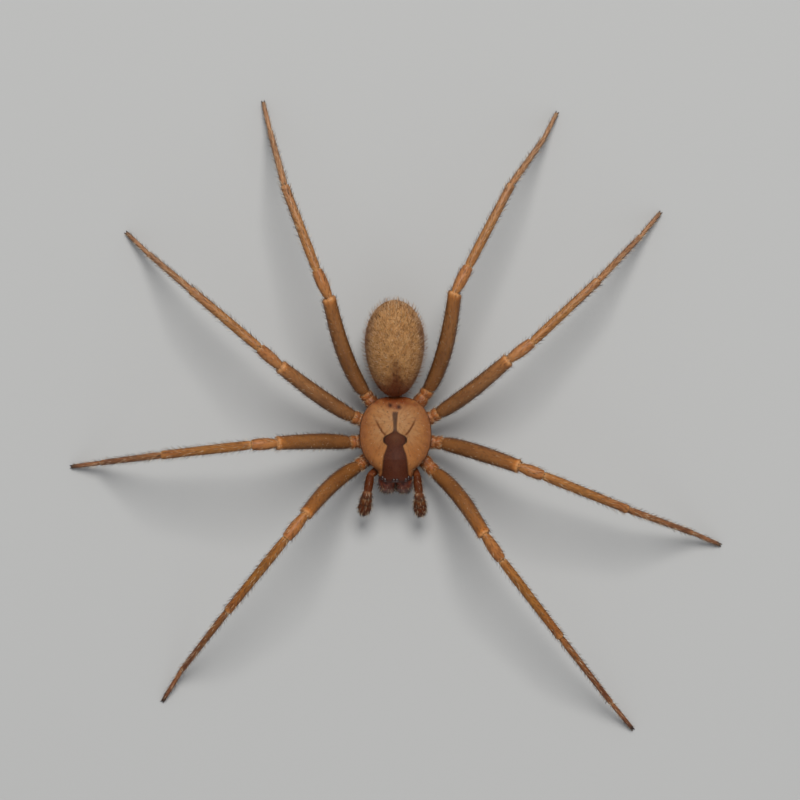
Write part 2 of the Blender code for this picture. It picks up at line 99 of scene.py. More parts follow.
COXA_HOLLOW_DEPTH = 0.022
# Plates of the underside: middle, half-width, and half-lengths to the rear and to the front
STERNUM_PLATE = (0.02, 0.71, 1.28, 1.02)
STERNUM_SCALLOPS = 8
STERNUM_SCALLOP_DEPTH = 0.03
STERNUM_NARROWING = 0.22
LABIUM_PLATE = (-1.30, 0.24, 0.26)

# Abdomen, pedicel and spinnerets, in mm from the same point
ABDOMEN_CENTRE = np.array((-0.04, 4.36, 2.38))
ABDOMEN_HALF = np.array((1.46, 2.43, 1.30))
ABDOMEN_REAR_SWELL = 0.09
ABDOMEN_LOW_SHARE = 0.94
BELLY_FURROW_Y = -0.95
LUNG = (0.62, -1.35)
DENTS = ((0.33, -0.9), (0.38, -0.1), (0.34, 0.6))
PEDICEL_START = np.array((0.0, 1.55, 1.72))
PEDICEL_END = np.array((0.0, 2.36, 2.04))
PEDICEL_OUTLINE = ((0, 0.20), (0.15, 0.26), (0.35, 0.24), (0.5, 0.21), (0.65, 0.24), (0.85, 0.26), (1, 0.20))
SPINNERET_BASE = np.array((-0.04, 6.36, 1.64))
MOUND_HALF = (0.34, 0.27, 0.27)
SPINNERETS = (((0.12, 0.02, -0.06), (0.20, 0.33, -0.44), 0.115),
              ((0.11, 0.02, 0.07), (0.19, 0.28, -0.12), 0.095),
              ((0.04, 0.02, 0.01), (0.06, 0.25, -0.22), 0.07))
SPINNERET_OUTLINE = ((0, 1.0), (0.55, 1.0), (0.62, 0.82), (0.85, 0.66), (0.96, 0.42), (1, 0.16))

# Legs: length in mm of each segment, for pairs 1 (front) to 4 (rear)
Segments = namedtuple("Segments", "femur patella tibia metatarsus tarsus")
SEGMENT_LENGTH = {
    1: Segments(4.95, 1.50, 5.00, 4.70, 1.90),
    2: Segments(4.95, 1.25, 4.70, 4.30, 1.65),
    3: Segments(5.05, 1.45, 4.65, 3.75, 1.65),
    4: Segments(5.85, 1.50, 4.70, 3.75, 1.60),
}
HIP_Z = 1.50
TIP_Z = 0.07
FEMUR_ARCH = 0.16
FEMUR_BOW = {1: 0.20, 2: 0.07, 3: -0.10, 4: -0.25}
FEMUR_ARCH_SKEW = 0.8
COXA_ROOT = {1: (1.12, -0.89, 1.38), 2: (1.16, -0.20, 1.36),
             3: (1.11, 0.58, 1.36), 4: (0.92, 1.33, 1.40)}
# The skin starts this much nearer the sternum than the solid does, so that no cut end shows
COXA_REACH = 0.32

# Pose of each leg: the hip from above, each segment's heading in degrees from straight out to
# the side towards the rear, and the slope of all but the femur, up positive
Pose = namedtuple("Pose", "hip sweep pitch")
POSE = {
    (LEFT, 1): Pose((1.98, -1.80), (-51.7, -56.0, -52.6, -52.4, -50.7), (-10, -12, -28, -27)),
    (LEFT, 2): Pose((2.38, -0.35), (-17.0, -20.6, -21.8, -20.0, -23.4), (1, -14, -36, -26)),
    (LEFT, 3): Pose((2.19, 1.18), (37.4, 36.8, 43.0, 46.2, 50.1), (-3, -14, -34, -24)),
    (LEFT, 4): Pose((1.66, 2.35), (74.9, 62.5, 62.4, 54.6, 63.2), (-14, -12, -41, -24)),
    (RIGHT, 1): Pose((1.90, -1.52), (-42.6, -51.1, -51.1, -52.2, -58.3), (9, -20, -37, -18)),
    (RIGHT, 2): Pose((2.33, -0.31), (-0.4, -4.0, -6.5, -7.3, -7.6), (12, -17, -44, -25)),
    (RIGHT, 3): Pose((2.17, 1.00), (34.9, 41.5, 40.3, 40.2, 43.6), (20, -16, -40, -27)),
    (RIGHT, 4): Pose((1.55, 2.19), (69.4, 66.3, 69.2, 74.9, 76.8), (3, -17, -40, -24)),
}

# Each segment's outline: share of its length from base to end, and radius in mm
LEG_OUTLINE = {
    "coxa": ((0, 0.15), (0.04, 0.22), (0.14, 0.29), (0.34, 0.345), (0.50, 0.36), (0.66, 0.345), (0.73, 0.305),
             (0.752, 0.275), (0.776, 0.305), (0.84, 0.335), (0.936, 0.335), (0.976, 0.31), (1, 0.26)),
    "femur": ((0, 0.26), (0.012, 0.315), (0.06, 0.35), (0.17, 0.382), (0.33, 0.398), (0.50, 0.392),
              (0.67, 0.375), (0.83, 0.355), (0.945, 0.342), (0.975, 0.355), (0.99, 0.34), (1, 0.28)),
    "patella": ((0, 0.20), (0.03, 0.225), (0.12, 0.25), (0.32, 0.287), (0.55, 0.305), (0.78, 0.292),
                (0.93, 0.265), (0.98, 0.25), (1, 0.21)),
    "tibia": ((0, 0.19), (0.01, 0.215), (0.05, 0.228), (0.20, 0.240), (0.50, 0.228), (0.80, 0.216),
              (0.93, 0.214), (0.97, 0.222), (0.99, 0.218), (1, 0.17)),
    "metatarsus": ((0, 0.13), (0.01, 0.15), (0.04, 0.166), (0.15, 0.168), (0.50, 0.152), (0.85, 0.138),
                   (0.96, 0.136), (0.985, 0.141), (1, 0.11)),
    "tarsus": ((0, 0.09), (0.02, 0.105), (0.08, 0.112), (0.40, 0.110), (0.75, 0.104), (0.92, 0.096),
               (0.975, 0.082), (1, 0.055)),
}
RINGS_PER_SEGMENT = {"coxa": 36, "femur": 56, "patella": 26, "tibia": 48, "metatarsus": 44, "tarsus": 30}
LEG_SIDES = 28
# Slight swellings all along a leg: three waves, in radians for each segment, and share of the radius
LEG_WAVES = (9.0, 15.0, 23.0)
LEG_WAVE_SHARE = 0.004
# Share of pale tan at each joint from the coxa's root to the tip: the rear feet are palest
LEG_TAN = {1: (0, 0, 0, 0, 0, 0, 0), 2: (0, 0.05, 0.05, 0.05, 0.12, 0.15, 0.1),
           3: (0, 0.10, 0.18, 0.10, 0.35, 0.45, 0.3), 4: (0, 0.05, 0.10, 0.10, 0.42, 0.60, 0.5)}
# By place along the leg, a whole number at each joint: how dark its flanks are (partly their own colour,
# partly painted shade where they turn from the light), how dense its hair is, how long, and the share of it
# that is dark
LEG_FLANK_DARK_AND_SHADE = ((0, 0.2), (1, 0.4), (1.1, 1.0), (1.9, 1.0), (2.0, 0.5))
LEG_HAIR_DENSITY = ((0.06, 0), (0.2, 1.4), (0.6, 2.0), (1.0, 1.6), (1.2, 0.9), (3.0, 1.0), (4.0, 1.8),
                    (5.0, 2.2), (5.95, 2.2), (6.0, 0))
LEG_HAIR_LENGTH = ((0, 0.6), (1, 0.7), (1.5, 0.9), (3, 1.0), (4, 1.0), (5, 0.85), (6, 0.5))
LEG_HAIR_DARK = ((0, 0.2), (0.9, 0.25), (1.1, 0.75), (1.9, 0.75), (2.0, 0.45), (2.3, 0.6))
# Degrees: how far a leg's hairs stand off it, how much that varies, and how much they turn aside
LEG_HAIR_STAND = 36
LEG_HAIR_STAND_SPREAD = 9
LEG_HAIR_YAW = 10
PALP_HAIR_DENSITY = ((0, 0), (2.0, 0.2), (2.15, 0.9), (3.0, 1.0), (5.0, 1.6), (5.8, 1.6), (6.0, 0.4))
LEG_LOWEST = 0.004
# A claw's curve: along the tarsus from its tip, aside and up. Its point nearly touches the floor
CLAW_PATH = ((-0.10, 0.035, 0), (-0.01, 0.05, 0.015), (0.06, 0.065, 0), (0.10, 0.075, 0))
CLAW_RADII = (0.040, 0.038, 0.026, 0.006)
CLAW_BEND_SHARE = 0.7
CLAW_BEND_LOWEST = 0.035
CLAW_POINT_Z = 0.014
CLAW_LOWEST = 0.003
JOINT_HALF_GAP = 0.03
MEMBRANE_SHARE = 0.88

# Palps: from above, the shoulder, the knee and the bulb on each side
PALP_ROOT = (0.88, -1.62, 1.62)
PALP_PLAN = {LEFT: ((1.07, -1.95), (1.17, -2.85), (1.24, -3.68)),
             RIGHT: ((1.25, -1.95), (1.39, -2.75), (1.55, -3.62))}
PALP_HEIGHTS = (2.00, 2.22, 1.42)
PALP_SOCKET = (0.62, -1.50, 1.42)
PALP_OUTLINES = (
    ((0, 0.12), (0.3, 0.19), (0.8, 0.20), (1, 0.175)),
    ((0, 0.165), (0.1, 0.195), (0.6, 0.20), (1, 0.175)),
    ((0, 0.165), (0.06, 0.195), (0.5, 0.22), (0.9, 0.212), (1, 0.19)),
    ((0, 0.19), (0.12, 0.226), (0.6, 0.25), (0.9, 0.245), (1, 0.225)),
    ((0, 0.225), (0.12, 0.265), (0.5, 0.305), (0.88, 0.298), (1, 0.27)),
    ((0, 0.27), (0.08, 0.305), (0.30, 0.335), (0.52, 0.32), (0.72, 0.265), (0.87, 0.185), (0.96, 0.10),
     (1, 0.035)),
)
PALP_RINGS = (8, 14, 26, 14, 14, 24)
PALP_SIDES = 28
PALP_HALF_GAP = 0.015
PALP_ARCH = 0.05
# Between knee and bulb, the shares at which two joints lie, then the tip's reach past the bulb
PALP_LOW_JOINTS = (0.30, 0.66)
PALP_TIP_REACH = 0.42
BULB_RADIUS = 0.17
BULB_AHEAD = 0.42
BULB_BELOW = 0.13
# The embolus's curve: below the bulb's middle, ahead of it and inwards
EMBOLUS_PATH = ((0.08, 0.08, 0), (0.21, 0.14, 0.06), (0.20, 0.06, 0.20), (0.10, 0, 0.24))
EMBOLUS_RADII = (0.055, 0.045, 0.024, 0.008)
MAXILLA_CENTRE = (0.50, -1.66, 1.34)
MAXILLA_HALF = (0.25, 0.50, 0.23)
MAXILLA_TURN = radians(28)

# Chelicerae and eyes: each jaw's top and tip, then share of its length, half-width and half-depth
JAW_TOP = (0.445, -2.03, 2.08)
JAW_TIP = (0.43, -2.64, 0.93)
JAW_OUTLINE = ((0, 0.20, 0.16), (0.04, 0.31, 0.27), (0.14, 0.40, 0.40), (0.30, 0.435, 0.47),
               (0.48, 0.43, 0.46), (0.66, 0.405, 0.41), (0.82, 0.36, 0.35), (0.93, 0.29, 0.27),
               (0.98, 0.21, 0.19), (1, 0.12, 0.10))
JAW_GAP = 0.008
FANG_PATH = ((-0.04, 0.06, 1.10), (-0.06, 0.08, 1.40), (-0.20, -0.06, 1.53), (-0.31, -0.25, 1.47))
FANG_RADII = (0.12, 0.115, 0.07, 0.008)
EYE_RADIUS = 0.085
EYE_SPACING = 0.155
LENS_HALF = np.array((1.0, 1.08, 1.0)) * EYE_RADIUS
LENS_SINK = 0.012
MOUNT_HALF = np.array((1.26, 1.34, 0.6)) * EYE_RADIUS
MOUNT_SINK = 0.02
EYE_PAIRS = (("eyes_median", 0.0, -2.17, 0.0), ("eyes_left", 0.58, -2.10, radians(40)),
             ("eyes_right", -0.58, -2.10, radians(-40)))

# The violin, symmetric: mm forward or back of the body's middle, and half-width in mm
VIOLIN_OUTLINE = ((-2.30, 0.98), (-2.12, 0.90), (-1.98, 0.70), (-1.83, 0.65), (-1.46, 0.63), (-0.99, 0.575),
                  (-0.70, 0.47), (-0.50, 0.385), (-0.42, 0.40), (-0.34, 0.56), (-0.20, 0.59), (-0.03, 0.56),
                  (0.06, 0.42), (0.14, 0.25), (0.24, 0.10), (0.45, 0.08), (0.80, 0.11), (1.20, 0.14))
VIOLIN_ROUNDING = 0.11
VIOLIN_SOFTNESS = ((-2.3, 0.05), (-0.5, 0.03))
VIOLIN_AXIS_X = -0.02
VIOLIN_NECK_END = 1.27
FURROW = ((0.52, 0.08), (0.66, 0.22), (0.84, 0.52), (0.97, 0.78), (1.10, 1.06))
FURROW_WIDTH = 0.05
FURROW_DEPTH = 0.012
FOVEA_WIDTH = 0.07
FOVEA_DEPTH = 0.055
# The cardiac mark: mm forward or back of the abdomen's middle, and half-width in mm
CARDIAC_OUTLINE = ((-2.40, 0.34), (-1.90, 0.30), (-1.50, 0.24), (-1.20, 0.20), (-0.90, 0.15),
                   (-0.60, 0.11), (-0.42, 0.0))
CARDIAC_AXIS_X = 0.06
REAR_SPOTS = ((-0.26, 1.55), (0.17, 1.46))
REAR_SPOT_RADIUS = 0.105


def linear(code):
    """Linear colour of an sRGB hex code."""
    parts = [int(code[place:place + 2], 16) / 255 for place in (1, 3, 5)]
    return tuple(part / 12.92 if part <= 0.04045 else ((part + 0.055) / 1.055) ** 2.4 for part in parts)


def body_origin():
    """The point that body sizes are measured from: the abdomen's rear end gives it."""
    low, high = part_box("abdomen")
    x = (low.x + high.x) / 2 - ABDOMEN_CENTRE[0] * MM
    y = high.y - (ABDOMEN_CENTRE[1] + ABDOMEN_HALF[1]) * MM
    return Vector((x, y, 0.0))


BODY = body_origin()


def colour_property(name, description, code):
    return FloatVectorProperty(name=name, description=description, default=linear(code),
                               subtype="COLOR", size=3, min=0.0, max=1.0)


def length_property(name, description, millimetres):
    return FloatProperty(name=name, description=description, default=millimetres * MM,
                         unit="LENGTH", min=0.0, precision=6)


def count_property(name, description, default):
    return IntProperty(name=name, description=description, default=default, min=0)


class SpiderHair(bpy.types.PropertyGroup):
    """Sizes and numbers of the hairs."""

    abdomen_length: length_property("Abdomen hair", "Length of the velvet on the abdomen", 0.125)
    abdomen_count: count_property("Abdomen hairs", "Hairs of the velvet", 17000)
    guard_length: length_property("Guard hair", "Length of the hairs that stand out of the velvet", 0.38)
    guard_count: count_property("Guard hairs", "Hairs that stand out", 1700)
    leg_length: length_property("Leg hair", "Length of the hair on the thick leg segments", 0.27)
    leg_count: count_property("Leg hairs", "Hairs on each leg", 2000)
    carapace_length: length_property("Carapace hair", "Length of the sparse hair on the carapace", 0.12)
    carapace_count: count_property("Carapace hairs", "Hairs on the carapace", 1100)
    bristle_length: length_property("Bristles", "Length of the bristles on palps and jaws", 0.30)
    palp_count: count_property("Palp bristles", "Bristles on each palp", 420)
    jaw_count: count_property("Jaw bristles", "Bristles on each jaw", 220)
    spinneret_count: count_property("Spinneret bristles", "Bristles on each large spinneret", 45)
    thickness: length_property("Thickness", "Radius of a hair at its root", 0.0095)


class SpiderColours(bpy.types.PropertyGroup):
    """Main colours of cuticle and hair."""

    carapace: colour_property("Carapace", "Shield of the head and thorax", "#A0693A")
    violin: colour_property("Violin", "Dark mark on the carapace", "#421B0B")
    abdomen: colour_property("Abdomen", "Upper side of the abdomen", "#C6965E")
    cardiac: colour_property("Cardiac mark", "Streak at the front of the abdomen", "#562204")
    sternum: colour_property("Sternum", "Plates of the underside", "#9A6238")
    chelicera: colour_property("Chelicerae", "Jaws", "#42120C")
    palp: colour_property("Palps", "Palps and their swollen tips", "#5C2A12")
    leg_pale: colour_property("Rear feet", "Pale tan of the rear feet", "#BE946E")


class SpiderStudio(bpy.types.PropertyGroup):
    """Camera, lights and floor."""

    camera_height: length_property("Camera height", "Height of the camera over the floor", 800)
    frame_width: length_property("Frame width", "Width of floor that the picture shows", 40)
    view_x: FloatProperty(name="View X", description="Middle of the picture", default=0.208 * MM,
                          unit="LENGTH", precision=6)
    view_y: FloatProperty(name="View Y", description="Middle of the picture", default=0.779 * MM,
                          unit="LENGTH", precision=6)
    floor_colour: colour_property("Floor", "Matt floor", "#B6B6B5")
    key_power: FloatProperty(name="Key light", description="Power of the large soft light", default=1.95,
                             unit="POWER")
    fill_power: FloatProperty(name="Fill light", description="Power of the light from the front",
                              default=0.15, unit="POWER")
    room_light: FloatProperty(name="Room light", description="Strength of the light from all round",
                              default=0.38)


def sizes():
    return bpy.context.scene.spider_hair


def colours():
    return bpy.context.scene.spider_colours


def studio():
    return bpy.context.scene.spider_studio


# Shapes that follow from a few functions


def oval(t, power):
    """Half-width of a unit superellipse at t along its axis."""
    return np.maximum(0.0, 1.0 - np.abs(t) ** power) ** (1.0 / power)


def smooth_step(low, high, value):
    t = np.clip((value - low) / (high - low), 0.0, 1.0)
    return t * t * (3.0 - 2.0 * t)


def read_off(table, place):
    """The value at any place between those of a table of places and values."""
    places, values = zip(*table)
    return np.interp(place, places, values)


def hill(*offsets, power=2):
    """1 where every offset is 0, falling smoothly to nearly 0 where one of them passes 2."""
    return np.exp(-sum(offset**power for offset in offsets))


def unit(vectors):
    return vectors / np.maximum(np.linalg.norm(vectors, axis=-1, keepdims=True), 1e-12)


def full_turn(sides):
    return np.linspace(0, 2 * pi, sides, endpoint=False)


def mirrored(side, place):
    """A place of the left side, or its twin on the right."""
    return np.array(place) * (side, 1, 1)


def limited(values):
    return np.clip(values, 0.0, 1.0)


def thorax_share(y):
    rear = oval(y / THORAX_REAR, THORAX_REAR_POWER)
    return np.where(y > 0, rear, oval(y / THORAX_FRONT, THORAX_FRONT_POWER))


def head_share(y):
    behind = 1.0 - HEAD_NARROWING * np.clip((y - HEAD_CENTRE_Y) / HEAD_HALF_LENGTH, 0.0, 1.0)
    front = oval((y - HEAD_CENTRE_Y) / HEAD_HALF_LENGTH, HEAD_POWER)
    return np.where(y > 0, 0.0, np.where(y > HEAD_CENTRE_Y, behind, front))


def blended(first, second, power):
    """The larger of two, with the corner where they cross rounded off."""
    return (first**power + second**power) ** (1.0 / power)


def half_width(y):
    return blended(THORAX_HALF_WIDTH * thorax_share(y), HEAD_HALF_WIDTH * head_share(y), 14)


def rise(y):
    """Height of the carapace's mid line over its margin."""
    return blended(THORAX_RISE * thorax_share(y), HEAD_RISE * head_share(y), 9)


def drop(y):
    """Depth of the underside's mid line below the margin."""
    sternum = oval((y - STERNUM_CENTRE_Y) / STERNUM_HALF_LENGTH, STERNUM_POWER)
    return np.maximum(STERNUM_DROP * sternum, FACE_DROP * np.maximum(thorax_share(y), head_share(y)))


def boss_share(x, y):
    """1 on the oval boss that carries the sternum, 0 beside it."""
    wide = STERNUM_HALF_WIDTH * (0.45 + 0.55 * oval(np.clip((y - 0.02) / 1.35, -1.0, 1.0), 2.2))
    return 1.0 - smooth_step(wide, wide + STERNUM_EDGE, np.abs(x))


def distance_to_line(x, y, line):
    """Distance from a line through a few points, and the share of its length at the nearest one."""
    nearest = np.full(np.shape(x), np.inf)
    share = np.zeros(np.shape(x))
    steps = len(line) - 1
    for index, ((ax, ay), (bx, by)) in enumerate(zip(line, line[1:])):
        t = ((x - ax) * (bx - ax) + (y - ay) * (by - ay)) / ((bx - ax) ** 2 + (by - ay) ** 2)
        t = np.clip(t, 0.0, 1.0)
        distance = np.hypot(x - ax - t * (bx - ax), y - ay - t * (by - ay))
        share = np.where(distance < nearest, (index + t) / steps, share)
        nearest = np.minimum(distance, nearest)
    return nearest, share


def furrow_mark(x, y):
    """How dark the thin furrow from the violin's shoulder to the rear edge is."""
    distance, share = distance_to_line(np.abs(x), y, FURROW)
    return hill(distance / FURROW_WIDTH) * (1.0 - 0.8 * smooth_step(0.5, 1.0, share))


def fovea_mark(x, y):
    """The deep groove on the mid line, at the violin's neck."""
    ends = smooth_step(0.25, 0.5, y) * (1 - smooth_step(1.0, 1.3, y))
    return hill((x - VIOLIN_AXIS_X) / FOVEA_WIDTH) * ends


def inside_violin(x, y):
    """How far inside the violin's rounded outline a point is, in mm, and negative outside."""
    step = 0.01
    grid = np.arange(VIOLIN_OUTLINE[0][0] - 0.5, VIOLIN_OUTLINE[-1][0] + 0.5, step)
    kernel = np.hanning(int(2 * VIOLIN_ROUNDING / step) + 1)
    half = len(kernel) // 2
    padded = np.pad(read_off(VIOLIN_OUTLINE, grid), half, mode="edge")
    rounded = np.convolve(padded, kernel / kernel.sum(), "valid")
    return np.interp(y, grid, rounded) - np.abs(x - VIOLIN_AXIS_X)


def violin_mark(x, y):
    """1 inside the violin, 0 outside, with soft edges."""
    softness = read_off(VIOLIN_SOFTNESS, y)
    ends = 1.0 - smooth_step(VIOLIN_NECK_END - 0.12, VIOLIN_NECK_END + 0.04, y)
    return smooth_step(-softness, softness, inside_violin(x, y)) * ends


def cephalothorax_rings(count=230, sides=240):
    """Rings across the body from its front end to its rear: the shield, its rim and the soft underside."""
    front = HEAD_CENTRE_Y - HEAD_HALF_LENGTH
    turn = np.linspace(0, pi, count + 2)[1:-1, None]
    y = (THORAX_REAR + front) / 2 - np.cos(turn) * (THORAX_REAR - front) / 2
    across, up = np.cos(full_turn(sides))[None, :], np.sin(full_turn(sides))[None, :]
    width = half_width(y)
    # Just below the rim the side steps in, so that the shield overhangs it
    tuck = 1.0 - 0.06 * smooth_step(0.03, 0.16, -up)
    x = across * width * tuck
    y = np.broadcast_to(y, x.shape)
    slope = np.abs(up)
    carved = FURROW_DEPTH * furrow_mark(x, y) + FOVEA_DEPTH * fovea_mark(x, y) + cervical_hollow(x, y)
    lip = LIP_RISE * smooth_step(0.0, 0.10, up) * (1.0 - smooth_step(0.10, 0.30, up))
    top = MARGIN_Z + top_height(x, y, slope) - carved * slope + lip * thorax_share(y)
    low = MARGIN_Z - under_depth(x, y, slope) + 0.02 * slope
    return np.stack([x, y, np.where(up >= 0, top, low)], axis=-1)


def cervical_hollow(x, y):
    """The broad, shallow hollows between the raised head and the thorax, and those over each coxa."""
    distance, share = distance_to_line(np.abs(x), y, NECK_HOLLOW)
    hollow = NECK_HOLLOW_DEPTH * hill(distance / NECK_HOLLOW_WIDTH)
    for _, root_y, _ in COXA_ROOT.values():
        distance, share = distance_to_line(np.abs(x), y, ((0.45, 0.45 + root_y * 0.15), (1.55, root_y)))
        hollow = hollow + (COXA_HOLLOW_DEPTH * hill(distance / COXA_HOLLOW_WIDTH)
                           * smooth_step(0.0, 0.5, share))
    return hollow


def top_height(x, y, slope):
    """Height of the shield over its margin's plane: its mid line's rise and the low ridge along it."""
    ridge = RIDGE_RISE * hill(x / RIDGE_HALF_WIDTH) * np.minimum(1.0, rise(y) / THORAX_RISE)
    return (rise(y) + ridge) * slope


def under_depth(x, y, slope):
    """Depth of the underside below the margin's plane, full on the sternum's boss and less beside it."""
    return drop(y) * slope * (RIM_SHARE + (1.0 - RIM_SHARE) * boss_share(x, y))


def carapace_height(x, y):
    """Height of the shield at a point seen from above, for what sits on it."""
    across = np.minimum(1.0, np.abs(x) / half_width(y))
    return MARGIN_Z + top_height(x, y, np.sqrt(1.0 - across**2))


def underside_height(x, y):
    """Height of the underside at a point seen from below, for the plates that lie on it."""
    across = np.minimum(1.0, np.abs(x) / np.maximum(half_width(y), 1e-6))
    return MARGIN_Z - under_depth(x, y, np.sqrt(1.0 - across**2))


def ball_rings(count, sides):
    """X, Y and Z of rings round a unit ball, from its front pole to its rear one."""
    turn = np.linspace(0, pi, count + 2)[1:-1, None]
    around = full_turn(sides)[None, :]
    return np.sin(turn) * np.cos(around), -np.cos(turn) + 0 * around, np.sin(turn) * np.sin(around)


def abdomen_rings(count=190, sides=200, inset=0.04):
    """Rings across the abdomen from its front end to its rear, a little inside the coat."""
    x, y, z = ball_rings(count, sides)
    swell = 1.0 + ABDOMEN_REAR_SWELL * np.sin(y * pi / 2)
    low = np.where(z < 0, 1.0 + (ABDOMEN_LOW_SHARE - 1.0) * smooth_step(0.0, 0.3, -z), 1.0)
    half = ABDOMEN_HALF - inset
    place = np.stack([x * half[0] * swell, y * half[1], z * half[2] * swell * low], axis=-1)
    outward = unit(place / ABDOMEN_HALF**2)
    return ABDOMEN_CENTRE + place + outward * abdomen_relief(place)[..., None]


def abdomen_relief(place):
    """Folds of the underside, the lung covers, the tubercle over the spinnerets and soft dents."""
    x, y, z = place[..., 0], place[..., 1], place[..., 2]
    below = smooth_step(0.1, 0.7, -z)
    furrow = -0.05 * hill((y - BELLY_FURROW_Y) / 0.05) * below * (1 - smooth_step(0.85, 1.15, np.abs(x)))
    lung = 0.035 * hill((np.abs(x) - LUNG[0]) / 0.30, (y - LUNG[1]) / 0.34, power=4) * below
    tubercle = 0.10 * hill(x / 0.22, (z + 0.38) / 0.16) * smooth_step(1.7, 2.2, y)
    dents = sum(-0.014 * hill((np.abs(x) - dent_x) / 0.07, (y - dent_y) / 0.07) for dent_x, dent_y in DENTS)
    behind = smooth_step(0.3, 1.0, np.abs(x)) * smooth_step(-0.3, 0.5, y)
    folds = 0.006 * np.sin(y * 17 + np.abs(x) * 3.0) * behind
    return furrow + lung + tubercle + dents * smooth_step(0.2, 0.8, z) + folds


def direction(side, sweep, pitch):
    """Unit vector of a segment: sweep towards the rear from straight out, pitch up."""
    turn = radians(sweep)
    return np.array((side * cos(pitch) * cos(turn), cos(pitch) * sin(turn), sin(pitch)))


def leg_joints(side, pair):
    """Coxa's root, hip, knee, patella's end, ankle, tarsal joint and tip, with the tip on the floor."""
    lengths = SEGMENT_LENGTH[pair]
    pose = POSE[side, pair]
    slopes = [radians(pitch) for pitch in pose.pitch]
    fall = sum(length * sin(slope) for length, slope in zip(lengths[1:], slopes))
    femur_slope = asin((TIP_Z - HIP_Z - fall) / lengths.femur)
    root, hip = mirrored(side, COXA_ROOT[pair]), mirrored(side, (*pose.hip, HIP_Z))
    joints = [root - unit(hip - root) * COXA_REACH, hip]
    for length, sweep, slope in zip(lengths, pose.sweep, [femur_slope, *slopes]):
        joints.append(joints[-1] + direction(side, sweep, slope) * length)
    return joints


def femur_bend(side, pair):
    sweep = radians(POSE[side, pair].sweep[0])
    return np.array((-side * sin(sweep), cos(sweep), 0.0)) * FEMUR_BOW[pair] + (0, 0, FEMUR_ARCH)


def dense_ends(count, crowding=0.124):
    """Shares from 0 to 1, closer together near both ends."""
    t = np.linspace(0, 1, count)
    return t - crowding * np.sin(2 * pi * t)


def tube_rings(joints, outlines, ring_counts, sides, bends=None, half_gap=JOINT_HALF_GAP):
    """One continuous skin through a chain of joints, mitred at each and drawn in to a membrane there.

    Returns the rings and, for each ring, the number of the segment plus the share along it."""
    bends = bends or {}
    ways = [unit(end - start) for start, end in zip(joints, joints[1:])]
    around = full_turn(sides)
    rings, along = [], []
    last = len(ways) - 1
    for index, (outline, count) in enumerate(zip(outlines, ring_counts)):
        start, end, way = joints[index], joints[index + 1], ways[index]
        length = np.linalg.norm(end - start)
        before = unit(ways[index - 1] + way) if index else way
        after = unit(way + ways[index + 1]) if index < last else way
        bend = bends.get(index, np.zeros(3))
        for share in dense_ends(count):
            reach = share * length
            inner = half_gap + share * (length - half_gap * (2 if index < last else 1))
            if index == 0:
                inner = share * (length - half_gap)
            curve = np.sin(pi * share**FEMUR_ARCH_SKEW) if share > 0 else 0.0
            centre = start + way * inner + bend * curve
            ahead = unit(way * length + bend * pi * cos(pi * min(1.0, share**FEMUR_ARCH_SKEW)) * 0.9)
            radius = read_off(outline, share)
            normal = ahead
            # A mitre fades out over a length that grows with the angle between the segments
            for mitre, off in ((before, reach), (after, length - reach)):
                span = max(0.14, 2.2 * radius * tan(np.arccos(np.clip(mitre @ way, -1, 1))) + 0.08)
                normal = normal + (mitre - ahead) * (1.0 - smooth_step(0.0, span, off))
            rings.append(mitred_ring(centre, ahead, unit(normal), radius, around))
            along.append(index + share)
        if index < last:
            neck = MEMBRANE_SHARE * min(outline[-1][1], outlines[index + 1][0][1])
            rings.append(mitred_ring(end, way, after, neck, around))
            along.append(index + 1.0)
    return np.array(rings), np.array(along)


def mitred_ring(centre, way, normal, radius, around):
    """A circle round a segment's axis, slid along that axis on to a tilted plane."""
    up = unit(np.array((0, 0, 1.0)) - way * way[2])
    side = np.cross(way, up)
    circle = radius * (np.outer(np.cos(around), side) + np.outer(np.sin(around), up))
    return centre + circle - np.outer(circle @ normal, way) / (way @ normal)


def leg_rings(side, pair):
    outlines = list(LEG_OUTLINE.values())
    counts = list(RINGS_PER_SEGMENT.values())
    joints = leg_joints(side, pair)
    rings, along = tube_rings(joints, outlines, counts, LEG_SIDES, {1: femur_bend(side, pair)})
    rng = np.random.default_rng(pair * 10 + side)
    phases = rng.uniform(0, 2 * pi, len(LEG_WAVES))
    swell = sum(np.sin(along * rate + phase) for rate, phase in zip(LEG_WAVES, phases)) * LEG_WAVE_SHARE
    centres = rings.mean(axis=1, keepdims=True)
    rings = centres + (rings - centres) * (1.0 + swell[:, None, None])
    rings[..., 2] = np.maximum(rings[..., 2], LEG_LOWEST)
    return rings, along


def palp_joints(side):
    """Palp from inside the maxilla over its shoulder and knee to the tip of the bulb."""
    shoulder, knee, bulb = (mirrored(side, (*spot, z)) for spot, z in zip(PALP_PLAN[side], PALP_HEIGHTS))
    down = bulb - knee
    lower = [knee + down * share for share in PALP_LOW_JOINTS]
    tip = bulb + unit(down) * PALP_TIP_REACH
    return [mirrored(side, PALP_SOCKET), mirrored(side, PALP_ROOT), shoulder, knee, *lower, tip]


def palp_rings(side):
    arch = {2: np.array((0, 0, PALP_ARCH))}
    return tube_rings(palp_joints(side), PALP_OUTLINES, PALP_RINGS, PALP_SIDES, arch, PALP_HALF_GAP)


